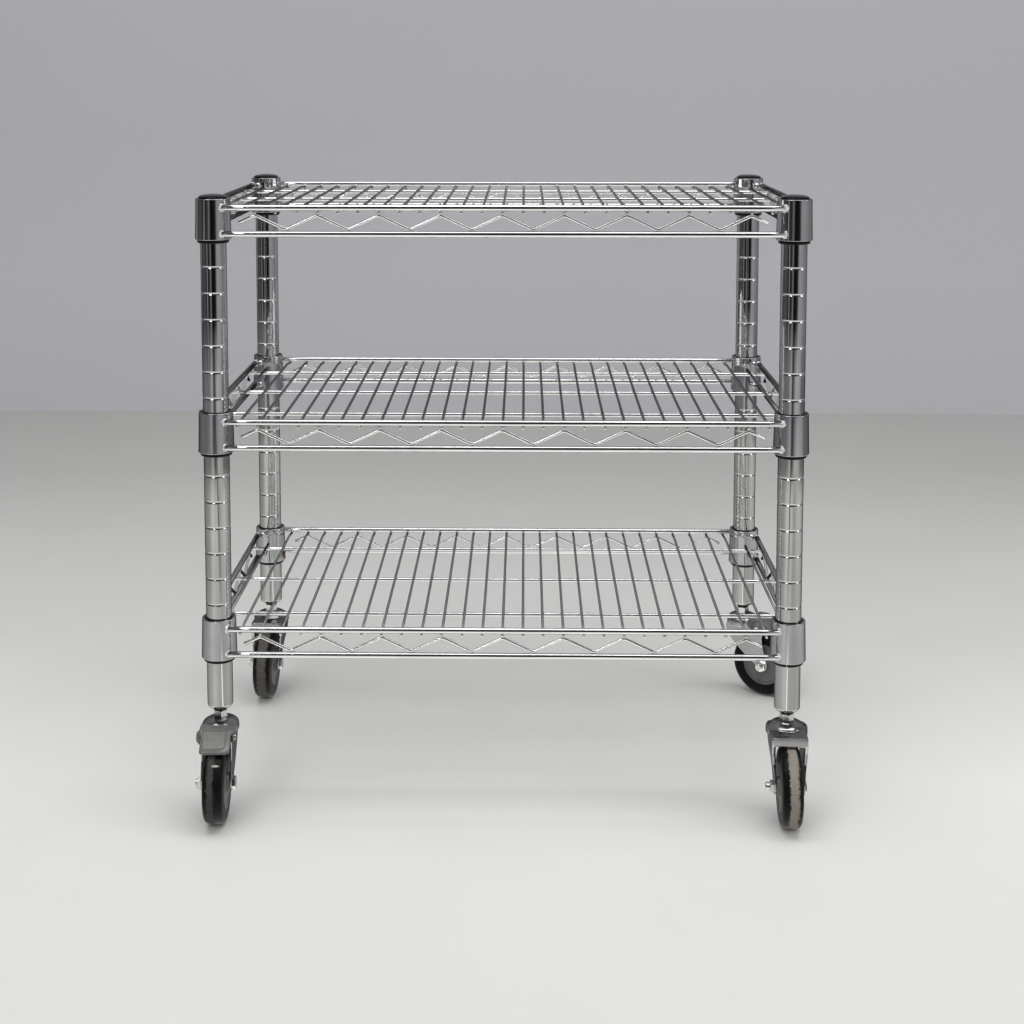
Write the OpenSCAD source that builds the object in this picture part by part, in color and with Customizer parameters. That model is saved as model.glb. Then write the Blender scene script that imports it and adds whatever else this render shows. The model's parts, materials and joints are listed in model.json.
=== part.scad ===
// Three-tier wire shelving rack on four swivel casters.
// Millimetres, +Z up. Origin on the floor, at the centre of the footprint.
// +X is the rack's right-hand side, -Y is its front.

/* [Rack] */
// Distance between the post axes, left to right
post_span_x = 556; // [400:2:900]
// Distance between the post axes, front to back
post_span_y = 308; // [260:2:450]
// Groove that holds each shelf's sleeves, counted down from the top of the post
shelf_grooves = [0, 8, 16]; // [0:1:16]
// How far above its nominal seat each shelf's collars rest on their sleeves, from the top shelf down
shelf_seat = [2, -1.5, -2.5]; // [-3:0.5:2]

/* [Posts] */
// Outside diameter of the post tube
post_d = 25; // [25:0.1:25.2]
// Wall thickness of the post tube
post_wall = 1.2; // [1.2:0.1:1.5]
// Length of each post
post_len = 501.5; // [501.5:5:901.5]
// Distance between neighbouring grooves
groove_pitch = 25.4; // [25:0.1:25.4]
// Number of grooves on each post
groove_count = 18; // [18:1:19]
// Depth of each groove
groove_depth = 0.5; // [0.4:0.1:0.6]
// Distance from the top of the post to the first groove
groove_first = 15.3; // [15.1:0.1:15.5]

/* [Shelf wires] */
// Diameter of the frame rods
rail_d = 6; // [5.8:0.1:6]
// Height between the upper and lower frame rods
rail_gap = 25; // [24.5:0.1:25.5]
// Diameter of the deck wires that run front to back
deck_d = 2.7; // [2.6:0.1:2.8]
// Distance between neighbouring deck wires
deck_pitch = 19.6; // [19:0.1:19.7]
// Diameter of the long wires under the deck
support_d = 4; // [3.8:0.1:4]
// Diameter of the zigzag truss wire
truss_d = 3.2; // [3.1:0.1:3.3]

/* [Collars and sleeves] */
// Height of each shelf collar
collar_h = 39.2; // [39:0.1:39.4]
// Inside radius at the top of the collar's taper
collar_r_top = 14.3; // [14.3:0.1:14.4]
// Inside radius at the bottom of the collar's taper
collar_r_bot = 15.2; // [15.1:0.1:15.2]
// Wall thickness of the collar
collar_wall = 2.1; // [2:0.1:2.2]
// Radial running gap between the sleeve and the collar
sleeve_gap = 0.05; // [0.03:0.01:0.08]

/* [Casters] */
// Height of the bottom end of the posts above the floor
post_base = 102; // [102:0.5:104]
// Width of the tyre
tyre_w = 20; // [18:0.5:20]
// Swivel angle of the front-left, front-right, back-left and back-right caster, in degrees
swivel = [3, -3, -2, 58]; // [-180:1:180]

/* [Hidden] */
$fn = 64;

chrome = [0.78, 0.79, 0.80];
bright = [0.88, 0.88, 0.87];
black = [0.05, 0.05, 0.05];
grey = [0.42, 0.43, 0.44];

// row numbers in the tables that have one entry per corner or per shelf
front_left = 0;
front_right = 1;
back_left = 2;
back_right = 3;
top = 0;
middle = 1;
bottom = 2;

half_x = post_span_x / 2;
half_y = post_span_y / 2;
post_at = [[-half_x, -half_y], [half_x, -half_y], [-half_x, half_y], [half_x, half_y]];
post_r = post_d / 2;
post_bore_r = post_r - post_wall;
post_top = post_base + post_len;
rail_drop = 8.2;        // upper rod axis below the collar's top rim

module at_post(corner, z = 0) {
    translate([post_at[corner][0], post_at[corner][1], z]) children();
}

function groove_z(groove) = post_top - groove_first - groove * groove_pitch;
// the collar's bottom rim is nominally 1 mm below the groove under the sleeve's own
function collar_z(shelf) = groove_z(shelf_grooves[shelf] + 1) - 1 + shelf_seat[shelf];
function rail_z(shelf) = collar_z(shelf) + collar_h - rail_drop;
// inside radius of the collar at height z above its bottom rim
function taper_r(z) = collar_r_bot + (collar_r_top - collar_r_bot) * z / collar_h;

// ---------- posts ----------

groove_half_w = 1.1;                       // half the groove's height at the tube's surface
groove_half_floor = groove_half_w * 0.45;
roll_reach = 3.6;                          // how far the bottom end is rolled inwards
roll_h = 4.4;                              // height of the rolled end inside the tube

// the outlines of revolved parts are lists of [radius, height] points
function groove_points(z) = [
    [post_r, z - groove_half_w],
    [post_r - groove_depth, z - groove_half_floor],
    [post_r - groove_depth, z + groove_half_floor],
    [post_r, z + groove_half_w]];

// grooved tube with its bottom end rolled inwards
module post(corner) {
    color(chrome) at_post(corner) rotate_extrude($fn = 96) polygon(concat(
        [[post_r - roll_reach, post_base], [post_r - 1.6, post_base + 0.5],
         [post_r - 0.4, post_base + 1.9], [post_r, post_base + 3.8]],
        [for (k = [groove_count - 1 : -1 : 0]) for (point = groove_points(groove_z(k))) point],
        [[post_r, post_top - 0.4], [post_r - 0.4, post_top], [post_bore_r, post_top],
         [post_bore_r, post_base + roll_h], [post_r - roll_reach, post_base + 1.4]]));
}
module post_front_left() post(front_left);
module post_front_right() post(front_right);
module post_back_left() post(back_left);
module post_back_right() post(back_right);

cap_plug = 9;       // length of the plug inside the tube
cap_r = 13.8;
cap_rim_h = 0.9;    // height of the flange
cap_dome_h = 2.9;

// domed end cap: a plug inside the tube, a flange on the rim and a low dome
module post_caps() {
    color(black) for (i = [0 : 3]) at_post(i, post_top) rotate_extrude($fn = 72) polygon(concat(
        [[0, -cap_plug], [post_bore_r - 0.8, -cap_plug], [post_bore_r, 1.5 - cap_plug],
         [post_bore_r, 0], [cap_r - 0.5, 0], [cap_r, 0.4], [cap_r, cap_rim_h]],
        [for (a = [15 : 15 : 90]) [cap_r * cos(a), cap_rim_h + cap_dome_h * sin(a)]]));
}

insert_h = 22;
insert_bore_r = 5.05;
insert_waist_r = post_bore_r - 0.8;

// threaded bush pressed into the lower end of each post
module post_threaded_inserts() {
    color(bright) for (i = [0 : 3]) at_post(i, post_base + roll_h) rotate_extrude() polygon([
        [insert_bore_r, 0], [9.5, 0], [post_bore_r, 2.2], [post_bore_r, 8],
        [insert_waist_r, 9], [insert_waist_r, 15], [post_bore_r, 16],
        [post_bore_r, insert_h], [insert_bore_r, insert_h]]);
}

// ---------- split taper sleeves ----------

sleeve_foot = 3.4;                             // length below the collar's bottom rim
sleeve_rise = 0.2;                             // height above the collar's top rim
sleeve_bore_r = post_r + 0.02;
ridge_r = post_r - groove_depth + 0.1;
split_w = 0.9;                                 // gap between the halves
split_cut = [40, split_w, collar_h + 10];
// direction of each sleeve's split in degrees: a row per shelf, a column per corner
split_angles = [
    [10, 170, 15, 160],
    [165, 12, 8, 170],
    [20, 76, 114, 30]];

// two halves: taper outside, post size inside, with a ridge in the groove
module sleeve(ridge_z, split_angle) {
    difference() {
        rotate_extrude($fn = 72) polygon([
            [sleeve_bore_r, -sleeve_foot],
            [taper_r(0) - 0.45, -sleeve_foot],
            [taper_r(0) - sleeve_gap, 0.6 - sleeve_foot],
            [taper_r(0) - sleeve_gap, 0],
            [taper_r(collar_h) - sleeve_gap, collar_h - 0.3],
            [taper_r(collar_h) - 0.5, collar_h + sleeve_rise],
            [sleeve_bore_r, collar_h + sleeve_rise],
            [sleeve_bore_r, ridge_z + 0.9], [ridge_r, ridge_z + 0.4],
            [ridge_r, ridge_z - 0.4], [sleeve_bore_r, ridge_z - 0.9]]);
        rotate([0, 0, split_angle])
            translate([-split_cut[0] / 2, -split_w / 2, -5]) cube(split_cut);
    }
}
module sleeves(shelf) {
    ridge_z = groove_z(shelf_grooves[shelf]) - collar_z(shelf);
    color(black) for (i = [0 : 3])
        at_post(i, collar_z(shelf)) sleeve(ridge_z, split_angles[shelf][i]);
}
module top_shelf_sleeves() sleeves(top);
module middle_shelf_sleeves() sleeves(middle);
module bottom_shelf_sleeves() sleeves(bottom);

// ---------- wire shelf ----------

rail_out = 13.5;            // frame rod axis outside the post axis
rail_end = 11;              // end of a frame rod before the post axis
rail_x = half_x + rail_out;
rail_y = half_y + rail_out;
bead_d = 6.8;
bead_len = 2;
bead_at = rail_end + 1.4;   // weld bead's middle from the post axis, along its rod

module rod_x(length, d) { rotate([0, 90, 0]) cylinder(d = d, h = length, center = true); }
module rod_y(length, d) { rotate([90, 0, 0]) cylinder(d = d, h = length, center = true); }

// tapered rings with a weld bead on the end of each frame rod
module collars(shelf) {
    color(chrome) for (i = [0 : 3]) at_post(i, collar_z(shelf)) union() {
        inward_x = i % 2 == 0 ? 1 : -1;
        inward_y = i < 2 ? 1 : -1;
        outer_bot = taper_r(0) + collar_wall;
        outer_top = taper_r(collar_h) + collar_wall;
        rotate_extrude($fn = 72) polygon([
            [taper_r(0), 0], [outer_bot - 0.3, 0], [outer_bot, 0.4],
            [outer_top, collar_h - 0.4], [outer_top - 0.3, collar_h], [taper_r(collar_h), collar_h]]);
        for (z = [collar_h - rail_drop, collar_h - rail_drop - rail_gap]) {
            translate([inward_x * bead_at, -inward_y * rail_out, z])
                rod_x(bead_len, bead_d, $fn = 48);
            translate([-inward_x * rail_out, inward_y * bead_at, z])
                rod_y(bead_len, bead_d, $fn = 48);
        }
    }
}
module frame_rods(shelf) {
    color(bright) for (z = [rail_z(shelf), rail_z(shelf) - rail_gap], side = [-1, 1]) {
        translate([0, side * rail_y, z]) rod_x(post_span_x - 2 * rail_end, rail_d);
        translate([side * rail_x, 0, z]) rod_y(post_span_y - 2 * rail_end, rail_d);
    }
}

// Wires sink a little into what they cross, by the number that ends each sum.
// Drops are measured down from the upper rod axis.
support_y = half_y - 46;                                   // outer long wires from the middle one
support_drop = rail_d / 2 + support_d / 2 - 0.2;
support_overhang = 0.6;                                    // past the side rod's axis
deck_drop = support_drop - support_d / 2 - deck_d / 2 + 0.3;
deck_end_drop = rail_d / 2 + deck_d / 2 - 0.25;            // under the front and back rods
deck_half = floor((half_x - 21.2) / deck_pitch);           // full wires each side of the middle one
deck_dip_run = 20;                                         // from the bend to the rod's axis
deck_tip = 2.2;                                            // wire end past the rod's axis
deck_lap = 0.3;                                            // overlap of the pieces at the bend
short_deck_half = support_y + 9;                           // half length of the short deck wires

// straight wire between two points of the plane y = 0, given as [x, z]
module wire_xz(from, to, d) {
    dx = to[0] - from[0];
    dz = to[1] - from[1];
    translate([from[0], 0, from[1]]) rotate([0, atan2(dx, dz), 0])
        cylinder(d = d, h = sqrt(dx * dx + dz * dz), $fn = 24);
}
module bent_wire(points, d) {
    for (i = [0 : len(points) - 2]) wire_xz(points[i], points[i + 1], d);
    for (i = [1 : len(points) - 2])
        translate([points[i][0], 0, points[i][1]]) sphere(d = d + 0.1, $fn = 24);
}

// full-length deck wires dip at both ends to pass under the front and back rods
module deck_wires(shelf) {
    slope = (deck_end_drop - deck_drop) / deck_dip_run;
    y_bend = rail_y - deck_dip_run;
    y_tip = rail_y + deck_tip;
    dip_start = [y_bend - deck_lap, -deck_drop + deck_lap * slope];
    dip_end = [y_tip, -deck_drop - slope * (y_tip - y_bend)];
    color(bright) for (i = [-deck_half : deck_half])
        translate([i * deck_pitch, 0, rail_z(shelf)]) {
            translate([0, 0, -deck_drop]) rod_y(2 * (y_bend + deck_lap), deck_d, $fn = 24);
            for (a = [90, -90]) rotate([0, 0, a]) wire_xz(dip_start, dip_end, deck_d);
        }
    // one short free-ended wire at each side, between the collars
    color(bright) for (side = [-1, 1])
        translate([side * (deck_half + 1) * deck_pitch, 0, rail_z(shelf) - deck_drop])
            rod_y(2 * short_deck_half, deck_d);
}
module support_wires(shelf) {
    color(bright) for (y = [-support_y, 0, support_y])
        translate([0, y, rail_z(shelf) - support_drop])
            rod_x(2 * (rail_x + support_overhang), support_d);
}

truss_tail = 7.4;       // drop of the tail past each end peak
truss_valley = -rail_gap + rail_d / 2 + truss_d / 2 - 0.3;
long_peak = -deck_end_drop - deck_d / 2 - truss_d / 2 + 0.2;
side_peak = -rail_d / 2 - truss_d / 2 + 0.2;
long_pitch = 3 * deck_pitch;
long_peaks = 2 * floor((half_x - 36.9) / long_pitch) + 1;
side_peaks = 4;
side_pitch = 2 * (support_y - 19.8) / (side_peaks - 1);

// [x, z] points of a zigzag from peak to peak, with a short tail past each end peak
function zigzag(peaks, pitch, peak_z) =
    let (tail_run = truss_tail / (peak_z - truss_valley) * pitch / 2,
         end_x = (peaks - 1) * pitch / 2)
    concat(
        [[-end_x - tail_run, peak_z - truss_tail]],
        [for (i = [0 : 2 * (peaks - 1)])
            [-end_x + i * pitch / 2, i % 2 == 0 ? peak_z : truss_valley]],
        [[end_x + tail_run, peak_z - truss_tail]]);
module truss_wires(shelf) {
    color(bright) translate([0, 0, rail_z(shelf)]) for (side = [-1, 1]) {
        translate([0, side * rail_y, 0])
            bent_wire(zigzag(long_peaks, long_pitch, long_peak), truss_d);
        translate([side * rail_x, 0, 0]) rotate([0, 0, 90])
            bent_wire(zigzag(side_peaks, side_pitch, side_peak), truss_d);
    }
}
module top_shelf_collars() collars(top);
module top_shelf_frame_rods() frame_rods(top);
module top_shelf_truss_wires() truss_wires(top);
module top_shelf_deck_wires() deck_wires(top);
module top_shelf_support_wires() support_wires(top);
module middle_shelf_collars() collars(middle);
module middle_shelf_frame_rods() frame_rods(middle);
module middle_shelf_truss_wires() truss_wires(middle);
module middle_shelf_deck_wires() deck_wires(middle);
module middle_shelf_support_wires() support_wires(middle);
module bottom_shelf_collars() collars(bottom);
module bottom_shelf_frame_rods() frame_rods(bottom);
module bottom_shelf_truss_wires() truss_wires(bottom);
module bottom_shelf_deck_wires() deck_wires(bottom);
module bottom_shelf_support_wires() support_wires(bottom);

// ---------- casters ----------
// Each caster is drawn with its swivel axis on Z and its wheel trailing towards -Y,
// then turned by its swivel angle. "Behind" means towards -Y before that turn.

wheel_r = 37.5;
trail = 30;
axle_at = [trail, wheel_r];             // [distance behind the swivel axis, height]
axle_d = 8;
hub_r = 24;
stem_r = 5;
stem_hex_top = 8;                       // top of the stem's hex above the crown
washer_h = 3.2;
crown_top = post_base - stem_hex_top - washer_h;
crown_r = 18;
crown_flat_r = 6;
crown_h = 6.8;
fork_t = 2;                             // sheet thickness
plate_z = crown_top - crown_h;          // underside of the fork's top plate
plate_top = plate_z + fork_t;
leg_in = 13;
leg_out = leg_in + fork_t;
pedal_pin_at = [25, plate_z - 3.5];     // as axle_at
pedal_pin_d = 4;
bore_len = 60;                          // long enough to cut right across a caster

module at_caster(corner) { at_post(corner) rotate([0, 0, swivel[corner]]) children(); }
module at_each_caster() { for (i = [0 : 3]) at_caster(i) children(); }
// turns Z to +X, on the axle or pin at the given [distance behind, height]
module across(at, x = 0) { translate([x, -at[0], at[1]]) rotate([0, 90, 0]) children(); }
// a solid of revolution about the wheel axle, from a section of [radius, x] points
module about_axle() { across(axle_at) rotate_extrude($fn = 96) children(); }
// completes a section from its -X half
function both_sides(half) =
    concat(half, [for (i = [len(half) - 1 : -1 : 0]) [half[i][0], -half[i][1]]]);
// a flat plate across the caster, standing on its section's plane at x
module side_plate(x, thickness) {
    translate([x, 0, 0]) rotate([90, 0, 90]) linear_extrude(thickness) children();
}
// outline of [distance behind the swivel axis, height] points
module outline(points) { polygon([for (p = points) [-p[0], p[1]]]); }
function hex_r(across_flats) = across_flats / 2 / cos(30);

// threaded stem, hex, retaining disc and riveted lower end, in one piece with the kingpin
module caster_stems() {
    hex_base = crown_top + 0.1;
    disc_z = crown_top - 10.3;
    rivet_z = crown_top - 12.3;
    stem_top = post_base + 26;
    color(bright) at_each_caster() {
        translate([0, 0, hex_base]) rotate([0, 0, 12])
            cylinder(r = hex_r(12), h = stem_hex_top - 0.1, $fn = 6);
        rotate_extrude() polygon([
            [0, rivet_z], [5.4, rivet_z], [6.5, rivet_z + 0.9], [6.5, disc_z],
            [12, disc_z], [12.5, disc_z + 0.5], [12.5, disc_z + 2.5],
            [stem_r - 0.05, disc_z + 2.5], [stem_r - 0.05, hex_base], [stem_r, hex_base],
            [stem_r, stem_top - 1], [stem_r - 1, stem_top], [0, stem_top]]);
    }
}
// black washer between the hex and the rolled end of the post
module caster_stem_washers() {
    color(black) at_each_caster() translate([0, 0, crown_top + stem_hex_top])
        rotate_extrude() polygon([
            [stem_r, 0], [6.2, 0], [6.5, 0.4], [6.5, 2.8], [6.1, washer_h], [stem_r, washer_h]]);
}
module caster_ball_races() {
    color(bright) at_each_caster() for (a = [0 : 36 : 324])
        rotate([0, 0, a]) translate([9.5, 0, crown_top - 5.29]) sphere(d = 5, $fn = 32);
}

// lower part of both kinds of leg, from the swivel side round under the axle
leg_lower = [
    [-14, 73], [-10, 66], [-5, 60], [3, 53], [11, 46], [19, 39.5],
    [22.8, 36.5], [37.2, 37.5], [36.8, 42], [34, 51], [31.2, 60], [30.4, 69.5]];
// tops of the legs, from the far end back to the crown
free_leg_top = [[32, plate_z - 4], [32, plate_top], [10, plate_top], [8, plate_z - 1]];
braked_leg_top = [
    [31.5, plate_z - 6], [30.5, plate_z - 3.2],
    [24.5, plate_top], [10, plate_top], [8, plate_z - 1]];

function crown_arc(reach, z_top, angles) =
    [for (a = angles) [crown_flat_r + reach * sin(a), z_top - crown_h * (1 - cos(a))]];
module crown_dome() {
    reach = crown_r - crown_flat_r;
    inner_top = crown_top - fork_t;
    rotate_extrude($fn = 72) polygon(concat(
        [[stem_r, inner_top], [stem_r, crown_top]],
        crown_arc(reach, crown_top, [0 : 15 : 90]),
        [[crown_r, plate_z - 4.6], [crown_r - 0.5, plate_z - 5], [crown_r - fork_t, plate_z - 5]],
        crown_arc(reach - fork_t, inner_top, [90 : -15 : 0])));
}
module fork_leg(x, leg_top) {
    side_plate(x, fork_t) union() {
        outline(concat([[-12, plate_z - 1], [-15, plate_z - 5]], leg_lower, leg_top));
        translate([-trail, wheel_r]) circle(r = 7.2, $fn = 48);
    }
}
// Crown dome, top plate and two legs. The unbraked fork's plate is turned down at its
// far end behind the swivel axis; the braked fork is bored for the pedal pin.
module fork(corner, braked) {
    reach = braked ? 24 : 32;
    lip = 6.7;
    color(chrome) at_caster(corner) difference() {
        union() {
            crown_dome();
            difference() {
                translate([-leg_out, -reach, plate_z]) cube([2 * leg_out, reach - 6, fork_t]);
                translate([0, 0, plate_z - 1]) cylinder(r = crown_r - 0.6, h = 4, $fn = 72);
            }
            for (x = [-leg_out, leg_in]) fork_leg(x, braked ? braked_leg_top : free_leg_top);
            if (!braked) translate([-leg_in - 0.5, -reach, plate_z - lip])
                cube([2 * leg_in + 1, fork_t, lip + fork_t]);
        }
        across(axle_at) cylinder(d = axle_d + 0.04, h = bore_len, center = true, $fn = 48);
        if (braked) across(pedal_pin_at)
            cylinder(d = pedal_pin_d + 0.02, h = bore_len, center = true, $fn = 48);
    }
}

// hub with a centre boss and recessed faces; it runs on the axle spacer
module wheel_hub(corner) {
    color(grey) at_caster(corner) about_axle() polygon(both_sides([
        [5.65, -12.6], [8.6, -12.6], [9.2, -12], [9.6, -9.8], [20.6, -9.2],
        [21.2, -10.2], [hub_r - 0.4, -10.2], [hub_r, -9.8]]));
}
// tyre with a narrow groove in each side and rounded shoulders
module tyre(corner) {
    face = -tyre_w / 2;
    shoulder = [5, 4];      // radial and sideways size of the rounding
    color(black) at_caster(corner) about_axle() polygon(both_sides(concat(
        [[hub_r, face + 0.6], [hub_r + 0.8, face], [hub_r + 2.6, face],
         [hub_r + 3, face + 0.4], [hub_r + 3.6, face]],
        [for (a = [0 : 15 : 90])
            [wheel_r - shoulder[0] * (1 - sin(a)), face + shoulder[1] * (1 - cos(a))]])));
}
// tube clamped between the fork legs by the axle bolt
module axle_spacer(corner) {
    color(bright) at_caster(corner) about_axle()
        polygon(both_sides([[axle_d / 2 + 0.02, -leg_in], [5.6, -leg_in]]));
}

bolt_tail = [5.6, 7.9, 5.6, 7.9];   // length of each bolt past the left leg
bolt_head = [2.9, 0.6, 2.9, 2.9];   // height of each bolt head
hex_flats = 11;                     // bolt head and nut
nut_h = 3.6;

module axle_bolt(corner) {
    tail = -leg_out - bolt_tail[corner];
    head = bolt_head[corner];
    axle_r = axle_d / 2;
    color(bright) at_caster(corner) union() {
        about_axle() polygon([
            [0, tail], [axle_r - 0.6, tail], [axle_r, tail + 0.6],
            [axle_r, leg_out + 0.5], [0, leg_out + 0.5]]);
        across(axle_at, leg_out) rotate([0, 0, 10]) cylinder(r = hex_r(hex_flats), h = head, $fn = 6);
        across(axle_at, leg_out + head - 0.1) cylinder(r1 = 5.3, r2 = 4.6, h = 0.5, $fn = 48);
    }
}
module axle_nut(corner) {
    color(bright) at_caster(corner) difference() {
        union() {
            across(axle_at, -leg_out - nut_h) rotate([0, 0, 25])
                cylinder(r = hex_r(hex_flats), h = nut_h, $fn = 6);
            across(axle_at, -leg_out - nut_h - 0.4) cylinder(r1 = 4.8, r2 = 5.3, h = 1, $fn = 48);
        }
        across(axle_at, -leg_out - 8) cylinder(d = axle_d, h = 10, $fn = 48);
    }
}

// pedal outlines, [distance behind the swivel axis, height]
pedal_plate = [
    [13, 87.8], [13.4, 89.6], [14.4, 90.2], [24, 90.6], [30, 88.8], [49, 76.9],
    [49.8, 75.6], [49.6, 74], [47.4, 74], [47.2, 75.2], [29, 86.4], [23.6, 88]];
pedal_pad = [
    [29.6, 88], [30, 89.6], [31, 89.7], [48.2, 79], [48.6, 78.2], [48, 76.8], [40, 81]];
pedal_cheek = [
    [12.4, 86], [13.6, 89.4], [14.6, 90], [24, 90.2], [30, 88.4], [49, 76.4], [49.6, 74],
    [44, 74.2], [34, 77.9], [27.5, 76.5], [23, 76.6], [18, 78], [13.4, 82]];
pedal_shoe = [[28.4, 87.4], [28.4, 76.8], [36, 76.2], [36, 83]];
pedal_half_w = 16.6;
cheek_t = 1.4;

// Plate hollowed round the dome, sloping down behind it under a raised pad, with a cheek
// outside each fork leg, a boss round the pin's left head and a shoe over the tyre.
module pedal_body() {
    difference() {
        side_plate(-pedal_half_w, 2 * pedal_half_w) outline(pedal_plate);
        cylinder(r = 19.4, h = 200, $fn = 96);
    }
    side_plate(-13.9, 25.6) outline(pedal_pad);
    for (x = [-pedal_half_w, pedal_half_w - cheek_t]) side_plate(x, cheek_t) outline(pedal_cheek);
    translate([0.1 - pedal_half_w, -pedal_pin_at[0], pedal_pin_at[1] + 0.5]) rotate([0, -90, 0])
        cylinder(r1 = 7.4, r2 = 4.2, h = 3.3, $fn = 48);
    side_plate(-8, 16) outline(pedal_shoe);
}
// pedal body less the pin hole, the left head's recess and the two far corners
module brake_pedal(corner) {
    color(grey) at_caster(corner) difference() {
        pedal_body();
        across(pedal_pin_at)
            cylinder(d = pedal_pin_d + 0.12, h = bore_len, center = true, $fn = 48);
        across(pedal_pin_at, -pedal_half_w - 10) cylinder(d = 6.2, h = 10, $fn = 48);
        for (side = [-1, 1]) translate([side * pedal_half_w, -49.8, 75])
            rotate([0, 0, 45]) cube([4.2, 4.2, 30], center = true);
    }
}
module brake_pedal_pin(corner) {
    color(bright) at_caster(corner) across(pedal_pin_at) union() {
        cylinder(d = pedal_pin_d, h = 34, center = true, $fn = 48);
        for (side = [-1, 1]) translate([0, 0, side * 17.3])
            cylinder(d = 5.6, h = 1.2, center = true, $fn = 48);
    }
}

module fork_front_left() fork(front_left, true);
module fork_front_right() fork(front_right, false);
module fork_back_left() fork(back_left, false);
module fork_back_right() fork(back_right, true);
module wheel_hub_front_left() wheel_hub(front_left);
module wheel_hub_front_right() wheel_hub(front_right);
module wheel_hub_back_left() wheel_hub(back_left);
module wheel_hub_back_right() wheel_hub(back_right);
module tyre_front_left() tyre(front_left);
module tyre_front_right() tyre(front_right);
module tyre_back_left() tyre(back_left);
module tyre_back_right() tyre(back_right);
module axle_spacer_front_left() axle_spacer(front_left);
module axle_spacer_front_right() axle_spacer(front_right);
module axle_spacer_back_left() axle_spacer(back_left);
module axle_spacer_back_right() axle_spacer(back_right);
module axle_bolt_front_left() axle_bolt(front_left);
module axle_bolt_front_right() axle_bolt(front_right);
module axle_bolt_back_left() axle_bolt(back_left);
module axle_bolt_back_right() axle_bolt(back_right);
module axle_nut_front_left() axle_nut(front_left);
module axle_nut_front_right() axle_nut(front_right);
module axle_nut_back_left() axle_nut(back_left);
module axle_nut_back_right() axle_nut(back_right);
module brake_pedal_front_left() brake_pedal(front_left);
module brake_pedal_back_right() brake_pedal(back_right);
module brake_pedal_pin_front_left() brake_pedal_pin(front_left);
module brake_pedal_pin_back_right() brake_pedal_pin(back_right);

post_front_left();
post_front_right();
post_back_left();
post_back_right();
post_caps();
post_threaded_inserts();
top_shelf_sleeves();
middle_shelf_sleeves();
bottom_shelf_sleeves();
top_shelf_collars();
top_shelf_frame_rods();
top_shelf_truss_wires();
top_shelf_deck_wires();
top_shelf_support_wires();
middle_shelf_collars();
middle_shelf_frame_rods();
middle_shelf_truss_wires();
middle_shelf_deck_wires();
middle_shelf_support_wires();
bottom_shelf_collars();
bottom_shelf_frame_rods();
bottom_shelf_truss_wires();
bottom_shelf_deck_wires();
bottom_shelf_support_wires();
caster_stems();
caster_stem_washers();
caster_ball_races();
fork_front_left();
wheel_hub_front_left();
tyre_front_left();
axle_spacer_front_left();
axle_bolt_front_left();
axle_nut_front_left();
fork_front_right();
wheel_hub_front_right();
tyre_front_right();
axle_spacer_front_right();
axle_bolt_front_right();
axle_nut_front_right();
fork_back_left();
wheel_hub_back_left();
tyre_back_left();
axle_spacer_back_left();
axle_bolt_back_left();
axle_nut_back_left();
fork_back_right();
wheel_hub_back_right();
tyre_back_right();
axle_spacer_back_right();
axle_bolt_back_right();
axle_nut_back_right();
brake_pedal_front_left();
brake_pedal_pin_front_left();
brake_pedal_back_right();
brake_pedal_pin_back_right();
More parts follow.
